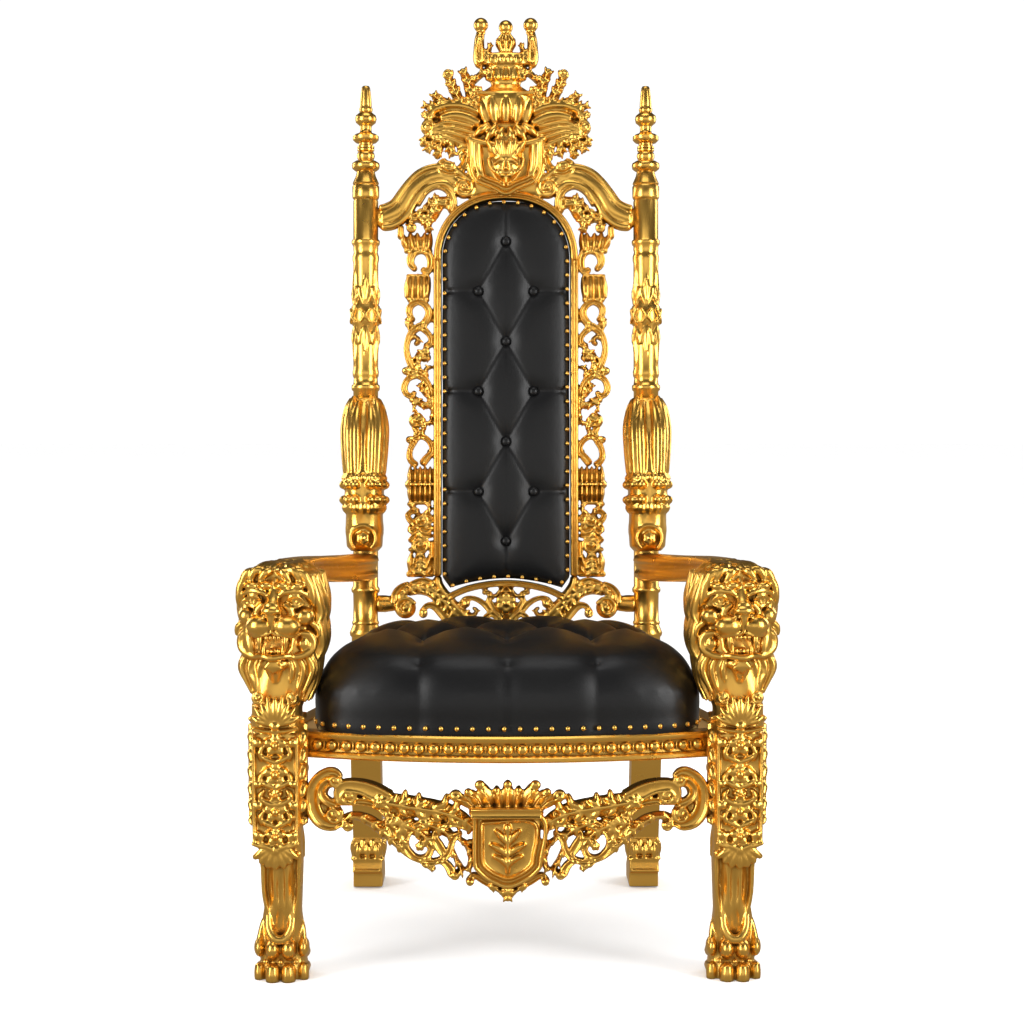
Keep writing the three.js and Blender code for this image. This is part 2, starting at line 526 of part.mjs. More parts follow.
const crestMiddle = [
  strap(arch, F0, F1, 1),
  plate([
    [-66, 1406], [0, 1416], [66, 1406], [76, 1440], [78, 1500], [76, 1526], [48, 1556], [-48, 1556], [-76, 1526],
    [-78, 1500], [-76, 1440],
  ], F0 + 2, F1 - 4, 4),
  plate([
    [-74, 1524], [-72, 1470], [-68, 1446], [-56, 1433], [-24, 1420], [0, 1410], [24, 1420], [56, 1433], [68, 1446],
    [72, 1470], [74, 1524], [40, 1512], [-40, 1512],
  ], F0 - 16, F1 - 6, 5),
  loft([
    ringAt(0, F0 + 6, 1430, 8, 30, 10, 2.4), ringAt(0, F0 + 4, 1444, 22, 36, 10, 2.4),
    ringAt(0, F0 + 4, 1456, 36, 34, 10, 2.4), ringAt(0, F0 + 4, 1490, 36, 34, 10, 2.4),
    ringAt(0, F0 + 4, 1508, 40, 32, 10, 2.4), ringAt(0, F0 + 6, 1520, 24, 26, 10, 2.4),
  ]),
  loft([
    ringAt(0, FRAME_MID, 1535, 32, 20, 10, 2.2), ringAt(0, FRAME_MID, 1552, 33, 21, 10, 2.2),
    ringAt(0, FRAME_MID, 1556, 38, 25, 10, 2.2), ringAt(0, FRAME_MID, 1580, 47, 29, 10, 2.2),
    ringAt(0, FRAME_MID, 1602, 54, 31, 10, 2.2), ringAt(0, FRAME_MID, 1612, 57, 31, 10, 2.2),
    ringAt(0, FRAME_MID, 1622, 38, 26, 10, 2.2), ringAt(0, FRAME_MID, 1632, 30, 22, 10, 2.2),
    ringAt(0, FRAME_MID, 1640, 32, 22, 10, 2.2), ringAt(0, FRAME_MID, 1644, 42, 25, 10, 2.2),
    ringAt(0, FRAME_MID, 1664, 37, 24, 10, 2.2), ringAt(0, FRAME_MID, 1672, 50, 28, 10, 2.2),
    ringAt(0, FRAME_MID, 1692, 51, 28, 10, 2.2), ringAt(0, FRAME_MID, 1697, 46, 24, 10, 2.2),
  ]),
  plate([
    [-13, 1690], [-12, 1700], [-20, 1712], [-21, 1726], [-13, 1732], [-9, 1738], [9, 1738], [13, 1732], [21, 1726],
    [20, 1712], [12, 1700], [13, 1690],
  ], F0 + 4, F1 - 10, 3),
  ball(0, FRAME_MID - 5, 1750, 14, 14, 14, 8, 5),
];
place('back_crest', join([...crestMiddle, ...bothSides(crestSide)]), gilt, inBack);

// ---- back stiles: the moulding beside the pad and the pierced border outside it ----
const B0 = F0 + 4;
const B1 = F1 - 6;
const stile = [
  strap([[-137, 1278, 8.5], [-137, 960, 8.5], [-137, 646, 8.5]], F0, F1),
  strap([[-211, 1349, 6], [-211, 1326, 7]], B0, B1),
  plate([
    [-210, 1330], [-196, 1326], [-190, 1334], [-182, 1328], [-172, 1330], [-160, 1329], [-149, 1334], [-148, 1300],
    [-152, 1296], [-186, 1298], [-198, 1302], [-200, 1312],
  ], B0, B1),
  strap([[-182, 1262, 6], [-192, 1276, 8], [-186, 1294, 8], [-170, 1301, 8], [-156, 1294, 8], [-150, 1276, 8],
    [-156, 1258, 7], [-168, 1262, 6]], B0, B1),
  plate([
    [-198, 1250], [-158, 1250], [-151, 1242], [-154, 1232], [-158, 1226], [-156, 1204], [-166, 1197], [-190, 1197],
    [-196, 1206], [-196, 1230], [-201, 1242],
  ], B0, B1),
  strap([[-176, 1196, 5], [-191, 1189, 7], [-194, 1176, 7], [-190, 1164, 6], [-182, 1156, 6]], B0, B1),
  strap([[-176, 1196, 5], [-161, 1190, 7], [-154, 1174, 8], [-160, 1158, 8], [-172, 1146, 8]], B0, B1),
  strap([[-190, 1166, 5], [-198, 1156, 7], [-194, 1148, 7], [-186, 1150, 5]], B0, B1),
  strap([[-172, 1148, 8], [-190, 1134, 7], [-199, 1108, 6], [-196, 1084, 7], [-184, 1060, 8], [-170, 1050, 8]],
    B0, B1),
  strap([[-192, 1122, 5], [-182, 1127, 6], [-175, 1118, 7], [-182, 1112, 6]], B0, B1),
  strap([[-172, 1148, 8], [-155, 1132, 6], [-149, 1116, 6], [-158, 1107, 7], [-166, 1114, 6]], B0, B1),
  strap([[-160, 1108, 6], [-162, 1096, 10], [-174, 1090, 10], [-178, 1072, 7], [-170, 1052, 5]], B0, B1),
  strap([[-162, 1100, 4], [-154, 1084, 5], [-166, 1082, 8]], B0, B1),
  strap([[-150, 1066, 5], [-160, 1062, 6], [-160, 1044, 5]], B0, B1),
  boss(-201, 1058, 8, B0, B1),
  strap([[-200, 1058, 7], [-186, 1052, 7], [-168, 1046, 8], [-154, 1028, 6], [-150, 1008, 5], [-156, 992, 7]],
    B0, B1),
  strap([[-176, 1048, 5], [-196, 1042, 6], [-204, 1022, 7], [-196, 1008, 6], [-184, 1010, 6], [-184, 1022, 5]],
    B0, B1),
  strap([[-152, 1002, 4], [-160, 1012, 8], [-168, 1024, 8], [-174, 1032, 5]], B0, B1),
  strap([[-192, 998, 5], [-180, 1000, 8], [-170, 992, 8], [-160, 988, 9], [-149, 992, 6]], B0, B1),
  strap([[-182, 998, 4], [-185, 984, 4], [-180, 974, 4]], B0, B1),
  strap([[-152, 992, 4], [-148, 976, 3], [-150, 958, 5]], B0, B1),
  boss(-180, 958, 16, B0, B1),
  strap([[-172, 968, 5], [-162, 954, 5], [-148, 954, 5]], B0, B1),
  strap([[-184, 946, 6], [-178, 932, 7], [-184, 916, 7], [-192, 900, 6], [-192, 880, 7], [-176, 866, 7]], B0, B1),
  strap([[-161, 952, 4], [-168, 934, 6], [-176, 928, 6]], B0, B1),
  boss(-194, 920, 7, B0, B1),
  strap([[-184, 920, 5], [-168, 926, 6], [-152, 914, 6], [-148, 896, 6], [-158, 884, 8], [-170, 868, 8]], B0, B1),
  plate([
    [-198, 862], [-190, 867], [-178, 862], [-172, 868], [-160, 866], [-148, 864], [-143, 856], [-148, 852],
    [-152, 840], [-149, 832], [-154, 826], [-154, 802], [-150, 794], [-170, 790], [-190, 794], [-195, 806],
    [-195, 826], [-199, 834], [-194, 846],
  ], B0, B1),
  strap([[-196, 792, 5], [-186, 784, 6], [-176, 774, 6]], B0, B1),
  strap([[-160, 792, 4], [-152, 782, 5], [-160, 772, 6]], B0, B1),
  boss(-172, 758, 15, B0, B1),
  strap([[-176, 776, 5], [-194, 774, 6], [-196, 762, 6], [-184, 752, 7]], B0, B1),
  strap([[-164, 770, 5], [-150, 764, 6], [-152, 754, 5], [-166, 752, 6]], B0, B1),
  strap([[-184, 750, 6], [-194, 738, 6], [-184, 736, 6], [-172, 742, 7], [-158, 736, 7], [-150, 742, 5],
    [-158, 750, 5]], B0, B1),
  strap([[-192, 716, 6], [-184, 726, 6], [-166, 728, 6], [-150, 727, 5]], B0, B1),
  boss(-172, 708, 19, B0, B1),
  strap([[-194, 700, 5], [-184, 698, 7]], B0, B1),
  strap([[-150, 716, 4], [-150, 690, 4], [-152, 676, 6]], B0, B1),
  strap([[-176, 742, 8], [-174, 722, 8]], B0, B1), strap([[-172, 694, 10], [-172, 678, 12]], B0, B1),
  plate([
    [-186, 690], [-172, 686], [-160, 690], [-150, 688], [-140, 676], [-140, 650], [-160, 646], [-197, 645],
    [-196, 652], [-199, 668], [-190, 676], [-194, 682],
  ], B0, B1),
];
const links = [1276, 1160, 1116, 1000, 896].map((z) => strap([[-152, z, 4], [-143, z, 4]], B0, B1));
const stileSolid = join([...stile, ...links]);
place('back_stile_right', stileSolid, gilt, inBack);
place('back_stile_left', mirrored(stileSolid), gilt, inBack);

// ---- bottom of the back: arched rail under the pad, scrolls and lattice, and the plain bar under them ----
const lowSide = [
  strap([[-137, 643, 8.5], [-134, 628, 9], [-119, 607, 9], [-100, 585, 9], [-80, 563, 9], [-66, 546, 8]], F0, F1),
  strap([[-190, 630, 6], [-168, 636, 7], [-148, 630, 7], [-126, 610, 7], [-106, 586, 7]], B0, B1),
  plate([
    [-200, 631], [-168, 640], [-148, 634], [-128, 618], [-100, 588], [-84, 566], [-96, 556], [-118, 558],
    [-132, 574], [-146, 592], [-166, 604], [-188, 602], [-196, 612],
  ], B0, B1),
  strap([[-196, 632, 4], [-212, 622, 8], [-222, 606, 9], [-218, 588, 9]], B0, B1),
  strap([[-184, 622, 7], [-202, 614, 9], [-212, 602, 8]], B0, B1),
  boss(-202, 583, 23, B0, B1),
  strap([[-168, 574, 7], [-160, 586, 6], [-144, 586, 8], [-128, 570, 9], [-116, 556, 9]], B0, B1),
  boss(-166, 571, 9, B0, B1),
  strap([[-110, 572, 12], [-84, 572, 10], [-66, 562, 8]], B0, B1),
  strap([[-92, 588, 5], [-84, 600, 5], [-66, 602, 5], [-46, 592, 6], [-30, 574, 6], [-10, 556, 7]], B0, B1),
  boss(-80, 591, 8, B0, B1),
  strap([[-78, 562, 5], [-66, 566, 6], [-58, 578, 5], [-66, 582, 4]], B0, B1),
  strap([[-45, 614, 6], [-32, 612, 5], [-34, 598, 6], [-24, 580, 6], [-8, 562, 7]], B0, B1),
  strap([[-34, 610, 4], [-22, 606, 5], [-12, 616, 5], [-2, 624, 5]], B0, B1),
  strap([[-46, 556, 6], [-36, 568, 6], [-22, 568, 6], [-10, 552, 7]], B0, B1),
  strap([[-226, 590, 9], [-240, 591, 16], [-252, 591, 18]], B0, B1),
];
const lowMiddle = [
  strap([[-112, 606, 7], [-80, 620, 7], [-40, 629, 7], [0, 632, 7], [40, 629, 7], [80, 620, 7], [112, 606, 7]],
    F0, F1),
  boss(0, 592, 21, B0, B1),
  strap([[-26, 590, 4], [0, 590, 5], [26, 590, 4]], B0, B1),
  strap([[0, 612, 4], [0, 592, 5], [0, 566, 5]], B0, B1),
  box(-215, 215, FRAME_MID - 14, F1, 500, 556),
];
place('back_bottom_rail', join([...lowMiddle, ...bothSides(lowSide)]), gilt, inBack);

// ---- upholstery: plain stuffed shapes, with a pocket where each tufting button is pulled in ----
const PAD_FRONT = 196;
const padOutline = [];
for (let i = 0; i <= ARCH_STEPS; i += 1) padOutline.push(archAt(0, Math.PI * i / ARCH_STEPS));
const padLow = [];
for (let i = 0; i <= 8; i += 1) {
  const x = -PAD_HALF + 16 + (2 * PAD_HALF - 32) * i / 8;
  padLow.push([x, 641 - 18 * (x / 112) ** 2]);
}
const padShape = [...padOutline, [-PAD_HALF, 645], ...padLow, [PAD_HALF, 645]];
const padRing = (inset, y) => padShape.map(([x, z]) => {
  const middle = 980;
  return new THREE.Vector3(x * (1 - inset / PAD_HALF), y, middle + (z - middle) * (1 - inset / 400));
});
const padBody = loft([padRing(0, 250), padRing(0, 216), padRing(14, 201), padRing(36, PAD_FRONT)]);
const padButtons = [
  [0, 1315], [-55, 1215], [55, 1215], [0, 1115], [-55, 1015], [55, 1015], [0, 915], [-55, 815], [55, 815], [0, 716],
];
const pocketAt = (x, y, z, upright) => {
  const geometry = new THREE.CylinderGeometry(BUTTON_RADIUS + 2, BUTTON_RADIUS + 2, 40, 6);
  if (upright) geometry.rotateX(Math.PI / 2);
  geometry.translate(x, y, z);
  return geometry;
};
const buttonShape = turned([[BUTTON_RADIUS, 0], [BUTTON_RADIUS, 2], [BUTTON_RADIUS - 3, 6]], 0, 0, 6);
place('back_pad', cut(padBody, padButtons.map(([x, z]) => pocketAt(x, 190, z, false))), leather, inBack);
padButtons.forEach(([x, z], i) => {
  const button = buttonShape.clone();
  button.rotateX(Math.PI / 2);
  button.translate(x, 210 - GAP, z);
  place(`back_button_${i + 1}`, button, leather, inBack);
});

const cushionRing = (z, inset, power) => {
  const ring = [];
  for (let k = 0; k < 20; k += 1) {
    const t = (k + 0.5) * 2 * Math.PI / 20;
    const c = Math.cos(t);
    const s = Math.sin(t);
    const reach = (Math.abs(c) ** power + Math.abs(s) ** power) ** (-1 / power);
    const u = c * reach;
    const v = s * reach;
    const y = -75 + (v > 0 ? 273 : 262) * v * (1 - inset / 280);
    const half = 345 - 78 * (y + 337) / 535;
    const bow = v < 0 ? 48 * (1 - u * u) * v * v : 0;
    ring.push(new THREE.Vector3((half - inset) * u, y - bow * (1 - inset / 200), z));
  }
  return ring;
};
const cushion = loft([
  cushionRing(RAIL_TOP + GAP, 6, 9), cushionRing(450, -6, 9), cushionRing(490, -8, 8), cushionRing(530, 12, 7),
  cushionRing(556, 38, 6), cushionRing(571, 76, 5), cushionRing(CUSHION_TOP, 130, 4),
]);
const seatButtons = [];
for (const [y, xs, z] of [
  [-170, [-150, 0, 150], 556], [-30, [-75, 75, -225, 225], 560], [110, [-150, 0, 150], 558],
]) {
  for (const x of xs) seatButtons.push([x, y, Math.abs(x) > 200 ? z - 8 : z]);
}
place('seat_cushion', cut(cushion, seatButtons.map(([x, y, z]) => pocketAt(x, y, z + 20 - GAP, true))), leather);
seatButtons.forEach(([x, y, z], i) => {
  const button = buttonShape.clone();
  button.translate(x, y, z);
  place(`seat_button_${i + 1}`, button, leather);
});

export default throne;
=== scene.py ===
import math
import bmesh
import bpy
import numpy as np
from mathutils import Matrix, Vector


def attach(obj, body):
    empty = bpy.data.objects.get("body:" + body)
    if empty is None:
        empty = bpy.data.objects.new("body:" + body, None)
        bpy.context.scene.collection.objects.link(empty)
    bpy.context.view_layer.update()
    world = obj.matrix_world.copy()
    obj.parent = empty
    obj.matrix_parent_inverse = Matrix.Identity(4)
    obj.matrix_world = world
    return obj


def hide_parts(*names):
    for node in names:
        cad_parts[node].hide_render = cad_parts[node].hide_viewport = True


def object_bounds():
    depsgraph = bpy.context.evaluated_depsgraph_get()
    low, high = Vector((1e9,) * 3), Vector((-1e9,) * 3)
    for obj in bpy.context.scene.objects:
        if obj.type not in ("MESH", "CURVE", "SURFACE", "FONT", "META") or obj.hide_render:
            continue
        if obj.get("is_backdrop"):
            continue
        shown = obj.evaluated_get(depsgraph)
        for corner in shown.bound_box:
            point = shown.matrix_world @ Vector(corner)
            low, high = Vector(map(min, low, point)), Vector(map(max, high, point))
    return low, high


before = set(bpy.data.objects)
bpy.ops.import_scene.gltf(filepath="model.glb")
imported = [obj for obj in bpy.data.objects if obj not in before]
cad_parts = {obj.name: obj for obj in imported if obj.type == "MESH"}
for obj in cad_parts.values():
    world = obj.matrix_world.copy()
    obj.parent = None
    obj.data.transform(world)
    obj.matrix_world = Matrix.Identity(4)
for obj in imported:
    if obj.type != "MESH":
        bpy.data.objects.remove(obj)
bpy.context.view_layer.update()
scene = bpy.context.scene

# Camera: a long lens straight in front and a little above the seat, as a catalogue shows a tall chair. It stands
# far enough back to keep the posts and legs upright.
camera = bpy.data.objects.new("camera", bpy.data.cameras.new("camera"))
camera.data.sensor_width = 36
camera.data.lens = 73.6
camera.location = (-0.020, -3.943, 1.0066)
look = Vector((0.00763, 0.99844, -0.05531))
camera.rotation_euler = look.to_track_quat("-Z", "Y").to_euler()
scene.collection.objects.link(camera)
scene.camera = camera
scene.view_settings.view_transform = "Standard"

# Studio: white all round, tall softboxes at both sides with weaker ones in front, above and behind. Only mirror
# rays see the dim room, which gives the gold its dark edges.
room = bpy.data.worlds.new("room")
scene.world = room
room.use_nodes = True
nodes = room.node_tree.nodes
links = room.node_tree.links
seen = nodes["Background"]
seen.inputs["Color"].default_value = (1.0, 1.0, 1.0, 1.0)
seen.inputs["Strength"].default_value = 1.06
mirrored_room = nodes.new("ShaderNodeBackground")
coords = nodes.new("ShaderNodeTexCoord")
split = nodes.new("ShaderNodeSeparateXYZ")
ramp = nodes.new("ShaderNodeValToRGB")
rays = nodes.new("ShaderNodeLightPath")
mix = nodes.new("ShaderNodeMixShader")
links.new(coords.outputs["Generated"], split.inputs[0])
links.new(split.outputs["Z"], ramp.inputs["Fac"])
ramp.color_ramp.interpolation = "EASE"
ramp.color_ramp.elements[0].position = 0.0
ramp.color_ramp.elements[0].color = (0.34, 0.31, 0.27, 1)
ramp.color_ramp.elements[1].position = 0.62
ramp.color_ramp.elements[1].color = (0.03, 0.027, 0.024, 1)
middle = ramp.color_ramp.elements.new(0.12)
middle.color = (0.055, 0.05, 0.045, 1)
links.new(ramp.outputs["Color"], mirrored_room.inputs["Color"])
mirrored_room.inputs["Strength"].default_value = 0.9
links.new(rays.outputs["Is Glossy Ray"], mix.inputs["Fac"])
links.new(seen.outputs["Background"], mix.inputs[1])
links.new(mirrored_room.outputs["Background"], mix.inputs[2])
links.new(mix.outputs["Shader"], nodes["World Output"].inputs["Surface"])

softboxes = [
    ("softbox_left", (-3.1, -2.4, 1.5), (0, 0, 0.9), 1.2, 3.2, 105),
    ("softbox_right", (3.1, -2.4, 1.5), (0, 0, 0.9), 1.2, 3.2, 105),
    ("softbox_front", (0.0, -5.4, 1.3), (0, 0, 0.9), 4.2, 3.0, 27),
    ("softbox_top", (0.0, -0.6, 4.2), (0, 0, 0.5), 2.2, 1.4, 24),
    ("softbox_back_left", (-2.8, 1.8, 1.8), (0, 0, 0.9), 0.8, 2.0, 30),
    ("softbox_back_right", (2.8, 1.8, 1.8), (0, 0, 0.9), 0.8, 2.0, 30),
]
for name, place, aim, width, height, power in softboxes:
    lamp = bpy.data.lights.new(name, "AREA")
    lamp.shape = "RECTANGLE"
    lamp.size = width
    lamp.size_y = height
    lamp.energy = power
    box = bpy.data.objects.new(name, lamp)
    box.location = place
    box.rotation_euler = (Vector(aim) - Vector(place)).to_track_quat("-Z", "Y").to_euler()
    scene.collection.objects.link(box)


# Finishes: gold leaf over carved wood, black leather, and the paper that the throne stands on. A shader is built by
# chaining sockets with ordinary arithmetic.
class Socket:
    def __init__(self, graph, output):
        self.graph = graph
        self.output = output

    def _math(self, operation, other, swap=False):
        pair = (other, self) if swap else (self, other)
        return self.graph.node("ShaderNodeMath", {"operation": operation}, {0: pair[0], 1: pair[1]})

    def __add__(self, other):
        return self._math("ADD", other)

    def __radd__(self, other):
        return self._math("ADD", other, True)

    def __sub__(self, other):
        return self._math("SUBTRACT", other)

    def __rsub__(self, other):
        return self._math("SUBTRACT", other, True)

    def __mul__(self, other):
        return self._math("MULTIPLY", other)

    def __rmul__(self, other):
        return self._math("MULTIPLY", other, True)

    def clamp(self, low=0.0, high=1.0):
        return self.graph.node("ShaderNodeClamp", {}, {"Value": self, "Min": low, "Max": high})


class Graph:
    def __init__(self, name):
        self.material = bpy.data.materials.new(name)
        self.material.use_nodes = True
        self.tree = self.material.node_tree
        self.shader = self.tree.nodes["Principled BSDF"]

    def node(self, kind, settings, inputs, output=0):
        made = self.tree.nodes.new(kind)
        for key, value in settings.items():
            setattr(made, key, value)
        for key, value in inputs.items():
            self.set(made.inputs[key], value)
        return Socket(self, made.outputs[output])

    def set(self, target, value):
        if isinstance(value, Socket):
            self.tree.links.new(value.output, target)
        else:
            target.default_value = value

    def principled(self, **values):
        for key, value in values.items():
            self.set(self.shader.inputs[key.replace("_", " ")], value)


# Gold leaf, burnished, with painted shade: dark brown in hollows and creases, so the high edges stay brighter.
graph = Graph("gold_leaf")
spot = graph.node("ShaderNodeTexCoord", {}, {}, "Object")
edge = graph.node("ShaderNodeNewGeometry", {}, {}, "Pointiness")
cloud = graph.node("ShaderNodeTexNoise", {}, {"Vector": spot, "Scale": 22.0, "Detail": 3.0}, "Fac")
grain = graph.node("ShaderNodeTexNoise", {}, {"Vector": spot, "Scale": 260.0, "Detail": 2.0}, "Fac")
# Painted shade: ambient occlusion and low pointiness mix dark brown into the gold and raise its roughness in hollows
# and creases.
occlusion_shade = graph.node("ShaderNodeAmbientOcclusion", {"samples": 4}, {"Distance": 0.014}, "AO")
hollow = ((0.5 - edge) * 4.0 + (0.80 - occlusion_shade) * 1.5).clamp()
shaded_gold = graph.node("ShaderNodeMix", {"data_type": "RGBA"}, {
    "Factor": hollow, "A": (0.97, 0.54, 0.10, 1), "B": (0.08, 0.034, 0.008, 1)}, 2)
tone = graph.node("ShaderNodeMix", {"data_type": "RGBA"}, {
    "Factor": (cloud * 0.5).clamp(), "A": shaded_gold, "B": (1.0, 0.62, 0.15, 1)}, 2)
bump = graph.node("ShaderNodeBump", {}, {"Height": grain, "Strength": 0.04, "Distance": 0.001}, "Normal")
graph.principled(Base_Color=tone, Metallic=1.0, Roughness=(0.24 + cloud * 0.10 + hollow * 0.15).clamp(),
                 Normal=bump)
gold = graph.material

# Black leather with a fine pebble grain and soft rubbed patches.
graph = Graph("black_leather")
spot = graph.node("ShaderNodeTexCoord", {}, {}, "Object")
pebble = graph.node("ShaderNodeTexVoronoi", {}, {"Vector": spot, "Scale": 420.0}, "Distance")
crease = graph.node("ShaderNodeTexNoise", {}, {"Vector": spot, "Scale": 35.0, "Detail": 5.0, "Distortion": 0.6},
        "Fac")
rubbed = graph.node("ShaderNodeTexNoise", {}, {"Vector": spot, "Scale": 6.0, "Detail": 2.0}, "Fac")
shade = graph.node("ShaderNodeMix", {"data_type": "RGBA"}, {
    "Factor": rubbed, "A": (0.0025, 0.0025, 0.003, 1), "B": (0.006, 0.006, 0.006, 1)}, 2)
relief = graph.node("ShaderNodeBump", {}, {
    "Height": pebble * 0.35 + crease * 1.2, "Strength": 0.16, "Distance": 0.0012}, "Normal")
graph.principled(Base_Color=shade, Roughness=(0.34 + rubbed * 0.12).clamp(), Normal=relief)
graph.shader.inputs["Specular IOR Level"].default_value = 0.34
leather = graph.material

# Paper floor.
graph = Graph("paper")
spot = graph.node("ShaderNodeTexCoord", {}, {}, "Object")
fibre = graph.node("ShaderNodeTexNoise", {}, {"Vector": spot, "Scale": 90.0}, "Fac")
white = graph.node("ShaderNodeMix", {"data_type": "RGBA"}, {
    "Factor": fibre, "A": (0.93, 0.93, 0.93, 1), "B": (0.96, 0.96, 0.96, 1)}, 2)
graph.principled(Base_Color=white, Roughness=0.9)
graph.shader.inputs["Emission Color"].default_value = (1, 1, 1, 1)
graph.shader.inputs["Emission Strength"].default_value = 0.07
paper = graph.material
mesh = bpy.data.meshes.new("floor")
bm = bmesh.new()
bmesh.ops.create_grid(bm, x_segments=4, y_segments=4, size=40)
bm.to_mesh(mesh)
bm.free()
mesh.materials.append(paper)
floor = bpy.data.objects.new("floor", mesh)
scene.collection.objects.link(floor)
floor.visible_glossy = False
floor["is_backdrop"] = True


# Front legs. Each is one tall carving in gilded wood: a lion's mask at the arm, a knee of leaves and flowers, and a
# hairy paw. The carver's strokes are laid over each other as separate lumps and melted into a single skin of wood.
# The seat rails and the apron are jointed into the inner face.
mm = 0.001
def spline(points, step):
    """Even samples of a smooth line through the points; every column is carried along."""
    points = np.array(points, float)
    if len(points) == 2:
        count = max(3, int(np.linalg.norm((points[1] - points[0])[:3]) / step) + 1)
        return points[0] + np.linspace(0, 1, count)[:, None] * (points[1] - points[0])
    padded = np.vstack([2 * points[0] - points[1], points, 2 * points[-1] - points[-2]])
    rows = []
    for a, b, c, d in zip(padded, padded[1:], padded[2:], padded[3:]):
        count = max(2, int(np.linalg.norm((c - b)[:3]) / step))
        t = np.linspace(0, 1, count, endpoint=False)[:, None]
        rows.append(0.5 * (2 * b + (c - a) * t + (2 * a - 5 * b + 4 * c - d) * t ** 2
                           + (3 * b - a - 3 * c + d) * t ** 3))
    return np.vstack(rows + [padded[-2:-1]])


def rounded(x, y, z, a, b, power=3.0, count=28):
    """A level ring, between an ellipse and a rectangle."""
    turn = (np.arange(count) + 0.5) * 2 * math.pi / count
    c, s = np.cos(turn), np.sin(turn)
    reach = (abs(c) ** power + abs(s) ** power) ** (-1 / power)
    return np.stack([x + a * c * reach, y + b * s * reach, np.full(count, float(z))], 1)


lumps = []
for segments, rows in ((16, 10), (10, 6)):
    template = bmesh.new()
    bmesh.ops.create_uvsphere(template, u_segments=segments, v_segments=rows, radius=1.0)
    lumps.append(([v.co.copy() for v in template.verts],
            [[v.index for v in face.verts] for face in template.faces]))
    template.free()


